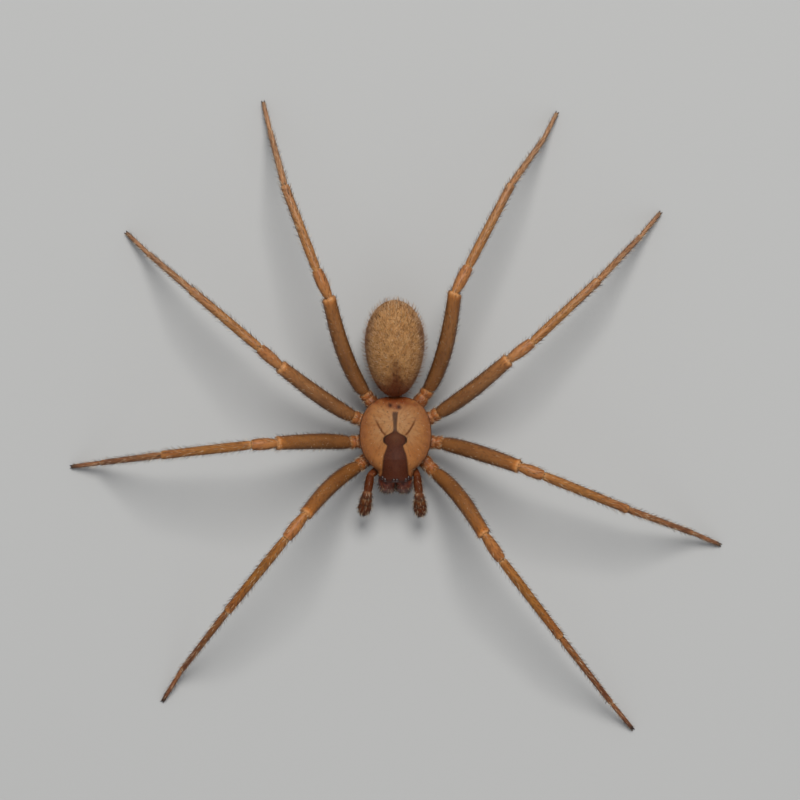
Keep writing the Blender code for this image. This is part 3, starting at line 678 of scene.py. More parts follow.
def horn_rings(path, radii, sides=16, count=24):
    """Rings along a smooth curve that four points pull, with a radius pulled in the same way."""
    share = dense_ends(count)[:, None]
    rest = 1.0 - share
    pull = np.hstack([rest**3, 3 * share * rest**2, 3 * share**2 * rest, share**3])
    centre, radius = pull @ np.array(path), pull @ np.array(radii)
    way = unit(np.gradient(centre, axis=0))
    helper = np.eye(3)[np.argmin(np.abs(centre[-1] - centre[0]))]
    across = unit(np.cross(way, helper))[:, None]
    other = np.cross(way[:, None], across)
    turn = full_turn(sides)[:, None]
    return centre[:, None] + (across * np.cos(turn) + other * np.sin(turn)) * radius[:, None, None]


def egg_rings(matrix, half, count=40, sides=40):
    """Rings of an ellipsoid with its poles on Y, made in its own axes and then placed."""
    place = np.stack(ball_rings(count, sides), -1)
    return place * half @ np.array(matrix.to_3x3()).T + np.array(matrix.translation)


# Meshes


def build_mesh(name, points, quads, triangles):
    """A mesh with smooth faces from points in mm measured from the body's point."""
    mesh = bpy.data.meshes.new(name)
    corners = np.concatenate([np.ravel(quads), np.ravel(triangles)]).astype(np.int32)
    corner_counts = np.concatenate([np.full(len(quads), 4), np.full(len(triangles), 3)])
    starts = np.concatenate([[0], np.cumsum(corner_counts)[:-1]]).astype(np.int32)
    placed = points.reshape(-1, 3) * MM + np.array(BODY)
    mesh.vertices.add(len(placed))
    mesh.vertices.foreach_set("co", placed.astype(np.float32).ravel())
    mesh.loops.add(len(corners))
    mesh.loops.foreach_set("vertex_index", corners)
    mesh.polygons.add(len(starts))
    mesh.polygons.foreach_set("loop_start", starts)
    mesh.update(calc_edges=True)
    mesh.validate()
    mesh.shade_smooth()
    return mesh


def loft_faces(rings, sides):
    """Quads between closed rings, and fans that close both ends round two extra points."""
    ring, side = np.meshgrid(np.arange(rings - 1), np.arange(sides), indexing="ij")
    here, beside = ring * sides + side, ring * sides + (side + 1) % sides
    quads = np.stack([here, beside, beside + sides, here + sides], -1).reshape(-1, 4)
    side = np.arange(sides)
    last = (rings - 1) * sides
    start_fan = np.stack([np.full(sides, rings * sides), (side + 1) % sides, side], -1)
    end_fan = np.stack([np.full(sides, rings * sides + 1), last + side, last + (side + 1) % sides], -1)
    return quads, np.concatenate([start_fan, end_fan])


def enclosed_volume(points, quads):
    a, b, c, d = (points[quads[:, corner]] for corner in range(4))
    return float(np.sum(a * np.cross(b, c)) + np.sum(a * np.cross(c, d)))


def loft(name, rings, values=None):
    """A closed skin through rings of points, with one value or three per ring or point under each name."""
    count, sides = rings.shape[:2]
    points = np.concatenate([rings.reshape(-1, 3), [rings[0].mean(0)], [rings[-1].mean(0)]])
    quads, fans = loft_faces(count, sides)
    if enclosed_volume(points - points.mean(0), quads) < 0:
        quads, fans = quads[:, ::-1], fans[:, ::-1]
    mesh = build_mesh(name, points, quads, fans)
    for key, value in (values or {}).items():
        value = np.asarray(value, float)
        if value.ndim == 1:
            value = np.repeat(value[:, None], sides, axis=1)
        flat = value.reshape(count * sides, *value.shape[2:])
        ends = [value[0].mean(0), value[-1].mean(0)]
        add_attribute(mesh, key, np.concatenate([flat, ends]))
    return add_object(name, mesh)


def add_attribute(mesh, key, values):
    kind, field = ("FLOAT_VECTOR", "vector") if values.ndim == 2 else ("FLOAT", "value")
    layer = mesh.attributes.new(key, kind, "POINT")
    layer.data.foreach_set(field, values.astype(np.float32).ravel())


def add_object(name, data):
    made = bpy.data.objects.new(name, data)
    bpy.context.scene.collection.objects.link(made)
    return made


def dress(piece, material, slot, *nodes):
    """Gives a piece its material, the body it rides on and the solids it stands for. The slot is not used."""
    piece.data.materials.clear()
    piece.data.materials.append(surface(material))
    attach(piece, BODY_NAME)
    if nodes:
        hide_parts(*nodes)
    return piece


def joined(name, pieces):
    """One object from several, with their attributes kept."""
    with bpy.context.temp_override(active_object=pieces[0], selected_editable_objects=pieces):
        bpy.ops.object.join()
    pieces[0].name = pieces[0].data.name = name
    return pieces[0]


# Hair: how many radii its root goes below the skin, the shares of its length that its three parts
# take up, its width at the two places between them, and its points: three rings of three and a tip

HAIR_ROOT = 2.5
HAIR_PARTS = (0.36, 0.34, 0.30)
HAIR_WIDTHS = (0.78, 0.46)
HAIR_POINTS = 10
DARK_SHADES = (0.0, 0.35)
PALE_SHADES = (0.6, 1.0)


class Coat:
    """Random spots on a skin of rings, even by area, with the skin's own directions there."""

    def __init__(self, rings, count, seed, weight=None):
        self.rng = np.random.default_rng(seed)
        self.rings = rings
        rows, sides = rings.shape[:2]
        along = rings[1:] - rings[:-1]
        around = np.roll(rings, -1, axis=1) - rings
        areas = np.linalg.norm(np.cross(along, around[:-1]), axis=-1)
        if weight is not None:
            areas = areas * weight[:-1]
        total = np.cumsum(areas.ravel())
        picks = (np.arange(count) + self.rng.random(count)) / count * total[-1]
        cell = np.minimum(np.searchsorted(total, picks), areas.size - 1)
        self.row = cell // sides + self.rng.random(count)
        self.side = cell % sides + self.rng.random(count)
        self.point = self.at(rings)
        self.forward = unit(self.at(np.concatenate([along, along[-1:]])))
        normal = np.cross(self.forward, unit(self.at(around)))
        middle = rings.mean(axis=1)[np.minimum(self.row.astype(int), rows - 1)]
        facing = np.sign(np.sum(normal * (self.point - middle), axis=-1, keepdims=True))
        self.normal = unit(normal * facing)
        self.count = count

    def at(self, values):
        """Values of the rings' points at each spot, blended between the four around it."""
        rows, sides = values.shape[:2]
        row = np.minimum(self.row, rows - 1.001)
        r, s = row.astype(int), self.side.astype(int) % sides
        u, v = (row - r), (self.side - self.side.astype(int))
        while u.ndim < values.ndim - 1:
            u, v = u[..., None], v[..., None]
        beside, above = (s + 1) % sides, np.minimum(r + 1, rows - 1)
        low = values[r, s] * (1 - v) + values[r, beside] * v
        high = values[above, s] * (1 - v) + values[above, beside] * v
        return low * (1 - u) + high * u

    def lean(self, lie, rise_degrees, yaw_degrees):
        """Unit vectors that stand this far off the skin along a lie, each turned a little at random."""
        flat = unit(lie - self.normal * np.sum(lie * self.normal, axis=-1, keepdims=True))
        sideways = np.cross(self.normal, flat)
        yaw = np.radians(self.rng.normal(0, yaw_degrees, self.count))[:, None]
        flat = flat * np.cos(yaw) + sideways * np.sin(yaw)
        stand = np.radians(rise_degrees)[:, None] if np.ndim(rise_degrees) else radians(rise_degrees)
        return self.normal * np.sin(stand) + flat * np.cos(stand)

    def off_floor(self, way, length):
        """The same ways, bent up where a hair of this length would pass through the floor."""
        up = np.maximum(way[:, 2:], (FLOOR_GAP - self.point[:, 2:]) / length).clip(max=1.0)
        return np.concatenate([unit(way[:, :2]) * np.sqrt(1.0 - up**2), up], axis=-1)

    def grow(self, name, start_way, end_way, length, radius, values=None):
        """Solid hairs of three sides that leave the skin along one way and bend to another."""
        count = self.count
        length = np.broadcast_to(length, count)[:, None]
        wide = np.broadcast_to(radius, count)[:, None, None]
        start_way, end_way = self.off_floor(start_way, length), self.off_floor(end_way, length)
        helper = np.where(np.abs(start_way[:, 2:3]) < 0.8, (0.0, 0.0, 1.0), (1.0, 0.0, 0.0))
        across = unit(np.cross(start_way, helper))
        other = np.cross(start_way, across)
        turn = self.rng.uniform(0, 2 * pi, count)[:, None] + np.arange(3)[None, :] * 2 * pi / 3
        circle = (across[:, None] * np.cos(turn)[..., None] + other[:, None] * np.sin(turn)[..., None]) * wide
        base = self.point - start_way * wide[:, 0] * HAIR_ROOT
        lower = self.point + start_way * length * HAIR_PARTS[0]
        upper = lower + unit(start_way + end_way) * length * HAIR_PARTS[1]
        tip = upper + end_way * length * HAIR_PARTS[2]
        points = np.concatenate([base[:, None] + circle, lower[:, None] + circle * HAIR_WIDTHS[0],
                                 upper[:, None] + circle * HAIR_WIDTHS[1], tip[:, None]], axis=1)
        first = np.arange(count)[:, None] * HAIR_POINTS
        steps = [(low, k, (k + 1) % 3) for low in (0, 3) for k in range(3)]
        quads = [first + np.array((low + k, low + n, low + 3 + n, low + 3 + k)) for low, k, n in steps]
        ends = [first + np.array(corners) for corners in ((6, 7, 9), (7, 8, 9), (8, 6, 9), (2, 1, 0))]
        mesh = build_mesh(name, points, np.concatenate(quads), np.concatenate(ends))
        for key, value in (values or {}).items():
            add_attribute(mesh, key, np.repeat(value, HAIR_POINTS, axis=0))
        self.add_map(mesh)
        return add_object(name, mesh)

    def add_map(self, mesh, patch=0.003):
        """The OFBake map: each hair is a small patch at its root's place on the unrolled skin."""
        rows, sides = self.rings.shape[:2]
        root = np.stack([self.row / rows, (self.side / sides) % 1.0], -1) * (1 - patch)
        levels = (0.0, HAIR_PARTS[0], 1.0 - HAIR_PARTS[2])
        offsets = [(k / 2, level) for level in levels for k in range(3)] + [(0.5, 1.0)]
        spots = (root[:, None] + np.array(offsets)[None] * patch).reshape(-1, 2)
        corners = np.empty(len(mesh.loops), np.int32)
        mesh.loops.foreach_get("vertex_index", corners)
        layer = mesh.uv_layers.new(name="OFBake")
        layer.uv.foreach_set("vector", spots[corners].astype(np.float32).ravel())


# Markings, shared by skin and coat


def mottle(x, y, size, seed):
    """Smooth irregular waves from about -1 to 1, in patches of about this size in mm."""
    rng = np.random.default_rng(seed)
    waves = 9
    total = np.zeros(np.shape(x))
    for turn, phase, stretch in zip(rng.uniform(0, pi, waves), rng.uniform(0, 2 * pi, waves),
                                    rng.uniform(0.7, 1.7, waves)):
        total += np.sin((x * cos(turn) + y * sin(turn)) * stretch * pi / size + phase)
    return total / waves**0.5


def violin_rim(x, y):
    """The darker edge of the violin, strongest round its shoulders."""
    inside = inside_violin(x, y)
    band = smooth_step(-0.05, 0.0, inside) * (1.0 - smooth_step(0.03, 0.14, inside))
    shoulder = hill((y + 0.16) / 0.26) * smooth_step(0.2, 0.4, np.abs(x))
    return band * (0.35 + 0.65 * shoulder) * (1 - smooth_step(0.2, 0.6, y))


def carapace_marks(points):
    """Strength of each marking on the shield, and of the painted light and shade on it, from 0 to 1."""
    x, y, z = points[..., 0], points[..., 1], points[..., 2]
    margin = np.abs(x) / np.maximum(half_width(y), 1e-6)
    above = smooth_step(MARGIN_Z - 0.02, MARGIN_Z + 0.1, z)
    patches = mottle(x, y, 0.3, 1)
    spots = [hill(np.hypot(x - at_x, y - at_y) / REAR_SPOT_RADIUS) for at_x, at_y in REAR_SPOTS]
    face = 1.0 - smooth_step(-2.12, -1.90, y)
    return {
        "violin": np.maximum(violin_mark(x, y) * above, face * (1 - smooth_step(0.80, 1.0, np.abs(x)))),
        "neck": smooth_step(0.15, 0.45, y) * violin_mark(x, y),
        "lobes": hill((y + 0.05) / 0.28, x / 0.3),
        "violin_rim": violin_rim(x, y) * above,
        "furrow": furrow_mark(x, y) * above,
        "spots": sum(spots) * above,
        "face": face,
        # Painted highlight: paler where the top of the shield faces the light
        "pale": limited(hill(x / 1.15, (y - 0.55) / 0.9, power=4) * (1 + 0.3 * patches)),
        # Painted shade: darker on the slopes down to the margin
        "edge": limited(smooth_step(0.66, 1.0, margin + 0.06 * patches)),
        # Painted shade: darker at the rear edge, under the abdomen
        "rear": limited(smooth_step(1.12, 1.70, y + 0.12 * patches - 0.35 * np.abs(x))),
        "rim": smooth_step(0.965, 0.995, margin) * (z > MARGIN_Z - 0.08),
        "under": (1.0 - smooth_step(MARGIN_Z - 0.14, MARGIN_Z - 0.04, z)) * (1.0 - face),
    }


def abdomen_marks(points):
    """Strength of each marking on the abdomen, from 0 to 1."""
    place = points - ABDOMEN_CENTRE
    x, y, z = place[..., 0], place[..., 1], place[..., 2]
    patches = mottle(x, y, 0.22, 2)
    flecks = mottle(x, y, 0.11, 8)
    inside = read_off(CARDIAC_OUTLINE, y) - np.abs(x - CARDIAC_AXIS_X) + 0.07 * patches
    strength = 0.9 - 0.3 * smooth_step(-1.7, -0.8, y) + 0.25 * flecks
    cardiac = smooth_step(-0.24, 0.20, inside) * (1 - smooth_step(-0.8, -0.35, y)) * strength
    reach = np.hypot(x / ABDOMEN_HALF[0], z.clip(max=0) / ABDOMEN_HALF[2])
    outline = np.hypot(x / ABDOMEN_HALF[0], y / ABDOMEN_HALF[1])
    side = smooth_step(0.76, 1.0, np.maximum(reach, outline) + 0.03 * patches) * smooth_step(-0.9, -0.2, z)
    return {
        "cardiac": limited(cardiac * smooth_step(-0.2, 0.4, z)),
        "front": limited(0.82 * (1.0 - smooth_step(-2.30, -0.95, y + 0.14 * patches + 0.10 * flecks))
                         + 0.18 * (1.0 - smooth_step(-1.6, 0.3, y + 0.2 * patches))),
        "side": limited(side * (1.0 - 0.7 * smooth_step(0.6, 1.8, y))),
        "belly": smooth_step(0.0, 0.8, -z),
    }


# Materials


MIX_FACTOR, MIX_A, MIX_B, MIX_RESULT = 0, 6, 7, 2


def add_node(tree, kind, inputs=None, output=0, stops=(), **settings):
    """Adds a node, sets it up, fills or links its inputs by name or number, and gives one output."""
    made = tree.nodes.new(kind)
    for key, value in settings.items():
        setattr(made, key, value)
    for index, (place, code) in enumerate(stops):
        points = made.color_ramp.elements
        point = points[index] if index < 2 else points.new(place)
        point.position = place
        point.color = (*linear(code), 1.0)
    for key, value in (inputs or {}).items():
        socket = made.inputs[key]
        if isinstance(value, bpy.types.NodeSocket):
            tree.links.new(value, socket)
        elif isinstance(value, str):
            socket.default_value = (*linear(value), 1.0)
        elif socket.type == "RGBA":
            socket.default_value = (*value, 1.0)
        else:
            socket.default_value = value
    return made if output is None else made.outputs[output]


def per_mm(millimetres):
    """Scale of a pattern with features of this size, for coordinates in metres."""
    return 1.0 / (millimetres * MM)


def clouded(tree, first, second, millimetres, detail=3.0):
    """A colour that drifts between two, in clouds of a real size."""
    place = add_node(tree, "ShaderNodeTexCoord", output="Object")
    noise = {"Vector": place, "Scale": per_mm(millimetres), "Detail": detail}
    cloud = add_node(tree, "ShaderNodeTexNoise", noise, "Fac")
    cloud = add_node(tree, "ShaderNodeMapRange", {"Value": cloud, "From Min": 0.3, "From Max": 0.7}, "Result")
    return laid_over(tree, first, (cloud, second))


def laid_over(tree, ground, *layers):
    """A ground colour under markings: each one's share, or its attribute's name, colour and strength."""
    for share, colour, *strength in layers:
        if isinstance(share, str):
            share = add_node(tree, "ShaderNodeAttribute", output="Fac", attribute_name=share)
        if strength:
            share = add_node(tree, "ShaderNodeMath", {0: share, 1: strength[0]}, operation="MULTIPLY")
        inputs = {MIX_FACTOR: share, MIX_A: ground, MIX_B: colour}
        ground = add_node(tree, "ShaderNodeMix", inputs, MIX_RESULT, data_type="RGBA")
    return ground


def shaded(tree, name, stops):
    """The colour that an attribute picks, from 0 to 1, between stops."""
    share = add_node(tree, "ShaderNodeAttribute", output="Fac", attribute_name=name)
    return add_node(tree, "ShaderNodeValToRGB", {"Fac": share}, "Color", stops)


def streaked(tree, ground, place_name, colour, strength):
    """A ground colour under streaks of noise, drawn out by the coordinates that an attribute gives."""
    place = add_node(tree, "ShaderNodeAttribute", output="Vector", attribute_name=place_name)
    streak = add_node(tree, "ShaderNodeTexNoise", {"Vector": place, "Scale": 1.0, "Detail": 3.0}, "Fac")
    reach = {"Value": streak, "From Min": 0.45, "From Max": 0.72, "To Max": strength}
    return laid_over(tree, ground, (add_node(tree, "ShaderNodeMapRange", reach, "Result"), colour))


def grained(tree, millimetres, depth, detail=3.0):
    """Surface normal of a fine grain, this wide and deep.

    The net of lines on real cuticle is about 0.01 mm wide: each recipe draws it coarser, to show."""
    place = add_node(tree, "ShaderNodeTexCoord", output="Object")
    noise = {"Vector": place, "Scale": per_mm(millimetres), "Detail": detail}
    height = add_node(tree, "ShaderNodeTexNoise", noise, "Fac")
    return add_node(tree, "ShaderNodeBump", {"Height": height, "Distance": depth * MM}, "Normal")


def carapace_chitin(tree):
    """Hard cuticle, tanned and waxy: warm translucent brown with a soft broad sheen."""
    own = colours()
    ground = clouded(tree, own.carapace, "#945C30", 0.9)
    # Painted light on the shield: a paler top where it faces the light, painted shade on its slopes towards
    # the margin, and painted shade at the rear edge under the abdomen
    edge = clouded(tree, "#7A4626", "#966040", 0.22)
    ground = laid_over(tree, ground, ("pale", "#AA7E54", 0.85), ("edge", edge, 0.7), ("rear", "#702E0A", 0.9))
    # Muscle streaks run from the fovea to the rim, about 0.15 mm apart
    ground = streaked(tree, ground, "rays", "#7A4824", 0.32)
    dark = clouded(tree, own.violin, "#4C2412", 0.12)
    dark = laid_over(tree, dark, ("neck", "#5A402E", 0.9), ("lobes", "#5E3820", 0.7),
                     ("face", "#50281A", 0.9))
    ground = laid_over(tree, ground, ("furrow", "#5A2A08"), ("spots", "#2E0E02"), ("violin", dark),
                       ("violin_rim", "#1C0E07", 0.9), ("rim", "#4A2616"), ("under", "#8A5C3A", 0.9))
    return {"Base Color": ground, "IOR": 1.56, "Roughness": 0.56, "Specular IOR Level": 0.11,
            "Subsurface Weight": 0.12, "Subsurface Scale": 0.08 * MM, "Subsurface Radius": (1.0, 0.45, 0.2),
            "Normal": grained(tree, 0.06, 0.006)}


def sternum_chitin(tree):
    """Thin pale plates of the underside, smooth and slightly glossy."""
    return {"Base Color": clouded(tree, colours().sternum, "#7F4B28", 0.5), "IOR": 1.56, "Roughness": 0.42,
            "Specular IOR Level": 0.3, "Normal": grained(tree, 0.07, 0.006)}


LEG_STOPS = (
    (0.00, "#905022"), (0.68, "#884A1E"), (0.752, "#B47442"), (0.784, "#945020"), (0.96, "#965826"),
    (0.99, "#B87E46"), (1.012, "#A46632"), (1.035, "#865429"), (1.30, "#7A4C22"), (1.72, "#885628"),
    (1.94, "#965C26"), (1.972, "#B87030"), (1.99, "#C88A50"), (2.005, "#B07844"), (2.06, "#A06630"),
    (2.50, "#AA6C38"), (2.93, "#A06230"), (3.00, "#BC844C"), (3.03, "#A2672F"), (3.50, "#9C6428"),
    (3.92, "#985A26"), (3.985, "#B2743A"), (4.01, "#9C6030"), (4.30, "#925A2C"), (4.90, "#78442A"),
    (5.00, "#A26C40"), (5.05, "#8F5A36"), (5.50, "#8A5636"), (5.82, "#6A4029"), (5.95, "#33251E"),
)


def leg_chitin(tree):
    """Thin tubes of cuticle with muscle showing through: streaky browns, soft gloss."""
    ground = shaded(tree, "along", [(place / len(LEG_OUTLINE), code) for place, code in LEG_STOPS])
    ground = laid_over(tree, ground, ("tan", colours().leg_pale))
    ground = streaked(tree, ground, "fibre", "#5C3216", 0.42)
    # Darker flanks: partly the leg's own colour, partly painted shade where its sides turn from the light
    ground = laid_over(tree, ground, ("dark_flank_and_shade", "#4A2810", 0.55))
    # The real scale pattern is about 0.01 mm fine, drawn here at 0.05 mm so that it shows
    return {"Base Color": ground, "IOR": 1.56, "Roughness": 0.45, "Specular IOR Level": 0.22,
            "Subsurface Weight": 0.12, "Subsurface Scale": 0.12 * MM, "Subsurface Radius": (1.0, 0.5, 0.25),
            "Normal": grained(tree, 0.05, 0.006)}


PALP_STOPS = (
    (0.0, "#6A3A1E"), (1.9, "#5C2C12"), (2.0, "#7E4828"), (2.1, "#4C2006"), (2.9, "#54280C"),
    (3.0, "#8C6042"), (3.2, "#7C4E34"), (3.8, "#6E4228"), (4.0, "#846044"), (4.2, "#6A3E20"),
    (4.9, "#623214"), (5.0, "#6E3E22"), (5.2, "#5C2E16"), (5.7, "#4C2610"), (6.0, "#3C1C0A"),
)


def palp_chitin(tree):
    """Dark tanned cuticle, redder than the legs, with pale joints."""
    ground = shaded(tree, "along", [(place / len(PALP_OUTLINES), code) for place, code in PALP_STOPS])
    ground = laid_over(tree, ground, ("blotch", colours().palp, 0.7))
    return {"Base Color": ground, "IOR": 1.56, "Roughness": 0.55, "Specular IOR Level": 0.09,
            "Normal": grained(tree, 0.06, 0.012)}


def chelicera_chitin(tree):
    """The hardest cuticle but for the fangs: dark red-brown and polished."""
    ground = clouded(tree, colours().chelicera, "#82442E", 0.15)
    return {"Base Color": ground, "IOR": 1.56, "Roughness": 0.34, "Specular IOR Level": 0.24,
            "Normal": grained(tree, 0.11, 0.012)}


def fang_chitin(tree):
    """Fangs and claws: almost black, glassy where they are worn smooth."""
    return {"Base Color": clouded(tree, "#2A1410", "#45201A", 0.1), "IOR": 1.56, "Roughness": 0.22,
            "Coat Weight": 0.4, "Coat Roughness": 0.08}


def abdomen_marked(tree, ground):
    """The abdomen's markings over a ground colour, the same for its skin and its coat."""
    return laid_over(tree, ground, ("side", "#744A3C", 0.8), ("belly", "#9A7856", 0.9),
                     ("front", "#5C260C", 0.92), ("cardiac", colours().cardiac, 0.95))


def abdomen_cuticle(tree):
    """Soft unhardened cuticle: matt, finely creased, seen between the hairs."""
    ground = clouded(tree, colours().abdomen, "#9A6A38", 0.3)
    # Hair sockets are about 0.08 mm apart in life, drawn 0.2 mm apart so that they show
    place = add_node(tree, "ShaderNodeTexCoord", output="Object")
    spot = add_node(tree, "ShaderNodeTexVoronoi", {"Vector": place, "Scale": per_mm(0.2)}, "Distance")
    reach = {"Value": spot, "From Min": 0.12, "From Max": 0.30, "To Min": 0.7, "To Max": 0.0}
    ground = laid_over(tree, ground, (add_node(tree, "ShaderNodeMapRange", reach, "Result"), "#5A3818"))
    # Creases are about 0.02 mm apart in life, drawn at 0.06 mm so that they show
    return {"Base Color": abdomen_marked(tree, ground), "IOR": 1.50, "Roughness": 0.62,
            "Specular IOR Level": 0.2, "Subsurface Weight": 0.10, "Subsurface Scale": 0.12 * MM,
            "Subsurface Radius": (1.0, 0.5, 0.25), "Normal": grained(tree, 0.06, 0.02, 5.0)}


def abdomen_hair(tree):
    """Short fine setae, golden and dark mixed, that lie to the rear like velvet."""
    stops = ((0.0, "#3E2410"), (0.10, "#7A5028"), (0.22, "#C0905C"), (0.75, "#D4A878"), (0.88, "#E6C298"),
             (1.0, "#F6E2C6"))
    hair = shaded(tree, "shade", stops)
    ground = laid_over(tree, hair, (0.88, abdomen_marked(tree, hair)))
    return {"Base Color": ground, "IOR": 1.55, "Roughness": 0.5, "Specular IOR Level": 0.12}


def body_hair(tree):
    """Setae of legs, palps and head: brown-black to straw, shiny enough to catch the light."""
    stops = ((0.0, "#2E1C10"), (0.45, "#55361E"), (0.66, "#9A7046"), (1.0, "#F2DEBC"))
    return {"Base Color": shaded(tree, "shade", stops), "IOR": 1.55, "Roughness": 0.4,
            "Specular IOR Level": 0.35}


def eye_lens(tree):
    """Clear domed cuticle over a dark eye: a mirror-bright skin on a smoky brown depth."""
    ground = laid_over(tree, "#0C0605", ("iris", "#30160F"))
    return {"Base Color": ground, "IOR": 1.56, "Roughness": 0.05}


def spinneret_cuticle(tree):
    """Soft pale brown cuticle, matt."""
    return {"Base Color": clouded(tree, "#8E6038", "#6E4626", 0.12), "IOR": 1.50, "Roughness": 0.55,
            "Specular IOR Level": 0.3, "Normal": grained(tree, 0.05, 0.008)}


def floor_board(tree):
    """Matt pale grey board."""
    return {"Base Color": tuple(studio().floor_colour), "Roughness": 0.85, "Specular IOR Level": 0.25}


RECIPES = {recipe.__name__: recipe for recipe in (
    carapace_chitin, sternum_chitin, leg_chitin, palp_chitin, chelicera_chitin, fang_chitin,
    abdomen_cuticle, abdomen_hair, body_hair, eye_lens, spinneret_cuticle, floor_board)}


def surface(name):
    """The named material, made from its recipe the first time it is asked for."""
    made = bpy.data.materials.get(name)
    if made is None:
        made = bpy.data.materials.new(name)
        made.use_nodes = True
        tree = made.node_tree
        tree.nodes.clear()
        shader = add_node(tree, "ShaderNodeBsdfPrincipled", RECIPES[name](tree))
        add_node(tree, "ShaderNodeOutputMaterial", {"Surface": shader}, None)
    return made


# Pieces


def make_cephalothorax():
    rings = cephalothorax_rings()
    x, y = rings[..., 0], rings[..., 1] - 0.75
    angle = np.arctan2(y, x)
    rays = np.stack([np.cos(angle) * 9.0, np.sin(angle) * 9.0, np.hypot(x, y) * 0.9], -1)
    shell = loft("carapace", rings, {**carapace_marks(rings), "rays": rays})
    dress(shell, "carapace_chitin", "carapace", "cephalothorax")


def plate_rings(outline, lift, thickness, count=24):
    """A shallow domed plate on the underside: rings grow from the middle to the edge and back above."""
    centre = outline.mean(0)
    rings = []
    for share in np.linspace(0.04, 1.0, count):
        flat = centre + (outline - centre) * share
        low = underside_height(flat[:, 0], flat[:, 1]) - lift * (1 - share**2) - 0.02
        rings.append(np.column_stack([flat, low]))
    for share in (0.98, 0.6):
        flat = centre + (outline - centre) * share
        rings.append(np.column_stack([flat, underside_height(flat[:, 0], flat[:, 1]) + thickness]))
    return np.array(rings)


def make_sternum():
    """Sternum with a scalloped edge at each coxa, and the labium in front of it."""
    turn = full_turn(96)
    across, back = np.cos(turn), np.sin(turn)
    middle, wide, rear, front = STERNUM_PLATE
    scalloped = wide + STERNUM_SCALLOP_DEPTH * np.cos(STERNUM_SCALLOPS * turn)
    x = across * scalloped * (1 - STERNUM_NARROWING * smooth_step(0.0, 1.0, back))
    y = middle + back * np.where(back > 0, rear, front)
    sternum = loft("sternum", plate_rings(np.column_stack([x, y]), 0.05, 0.10))
    middle, wide, long = LABIUM_PLATE
    outline = np.column_stack([across * wide, middle + back * long])
    labium = loft("labium", plate_rings(outline, 0.06, 0.14))
    for piece in (sternum, labium):
        dress(piece, "sternum_chitin", "carapace")


def make_abdomen():
    rings = abdomen_rings()
    piece = loft("abdomen_skin", rings, abdomen_marks(rings))
    dress(piece, "abdomen_cuticle", "abdomen", "abdomen")


def spinneret_rings(side, root, tip, radius):
    start, end = (SPINNERET_BASE + mirrored(side, spot) for spot in (root, tip))
    outline = [(share, size * radius) for share, size in SPINNERET_OUTLINE]
    return tube_rings([start, end], [outline], [18], 16)[0]


def make_waist_and_spinnerets():
    rings, _ = tube_rings([PEDICEL_START, PEDICEL_END], [PEDICEL_OUTLINE], [30], 28)
    dress(loft("waist", rings), "sternum_chitin", "coxa", "pedicel")
    mound = Matrix.Translation(SPINNERET_BASE)
    pieces = [loft("spinneret_mound", egg_rings(mound, MOUND_HALF, 24, 32))]
    for spinneret in SPINNERETS:
        pieces += [loft("spinneret", spinneret_rings(side, *spinneret)) for side in SIDES]
    dress(joined("spinneret_group", pieces), "spinneret_cuticle", "spinneret", "spinnerets")


def leg_name(side, pair):
    return f"leg_{SIDE_NAME[side]}_{pair}"


def leg_marks(pair, along):
    """What the leg's skin is coloured by: place along it, streaks, its darker flanks (partly their own
    colour, partly painted shade) and its paleness.
    """
    turn = full_turn(LEG_SIDES)[None, :]
    reach = np.repeat(along[:, None], LEG_SIDES, axis=1)
    across, up = np.cos(turn) + 0 * reach, np.sin(turn) + 0 * reach
    strength = read_off(LEG_FLANK_DARK_AND_SHADE, along)
    return {
        "along": along / len(LEG_OUTLINE),
        # Streaks run along the leg: round it in full, along it a fraction as fast
        "fibre": np.stack([reach * 6.0, across * 1.6, up * 1.6], -1),
        # The sides of the leg, seen from above, are darker: partly their own colour, partly painted shade
        # where they turn from the light
        "dark_flank_and_shade": smooth_step(0.55, 1.0, np.abs(across)) * strength[:, None],
        "tan": read_off(enumerate(LEG_TAN[pair]), along),
    }


def make_legs():
    for side in SIDES:
        for pair in PAIRS:
            rings, along = leg_rings(side, pair)
            name = leg_name(side, pair)
            piece = loft(name + "_skin", rings, leg_marks(pair, along))
            nodes = [f"{name}_{part}" for part in ("coxa", "femur", "tibia", "foot")]
            dress(piece, "leg_chitin", "femur", *nodes)
            make_claws(side, pair)


def make_claws(side, pair):
    """Two curved claws at the tip of the tarsus."""
    joints = leg_joints(side, pair)
    tip, way = joints[-1], unit(joints[-1] - joints[-2])
    sideways = unit(np.cross(way, (0, 0, 1.0)))
    pieces = []
    for turn in SIDES:
        path = [tip + way * along + sideways * turn * aside + (0, 0, up) for along, aside, up in CLAW_PATH]
        path[2][2] = max(CLAW_BEND_LOWEST, path[2][2] * CLAW_BEND_SHARE)
        path[3][2] = CLAW_POINT_Z
        rings = horn_rings(path, CLAW_RADII, 12, 14)
        rings[..., 2] = np.maximum(rings[..., 2], CLAW_LOWEST)
        pieces.append(loft("claw", rings))
    dress(joined(f"claws_{SIDE_NAME[side]}_{pair}", pieces), "fang_chitin", "foot")


def make_palps():
    for side in SIDES:
        rings, along = palp_rings(side)
        name = f"palp_{SIDE_NAME[side]}"
        blotch = limited(0.5 + 0.6 * mottle(rings[..., 0] + rings[..., 2], rings[..., 1], 0.22, 6))
        marks = {"along": along / len(PALP_OUTLINES), "blotch": blotch}
        dress(loft(name + "_skin", rings, marks), "palp_chitin", "palp", name)
        centre = Matrix.Translation(mirrored(side, MAXILLA_CENTRE))
        place = centre @ Matrix.Rotation(side * MAXILLA_TURN, 4, "Z")
        dress(loft(f"maxilla_{SIDE_NAME[side]}", egg_rings(place, MAXILLA_HALF)), "sternum_chitin", "palp")
        make_palp_bulb(side)


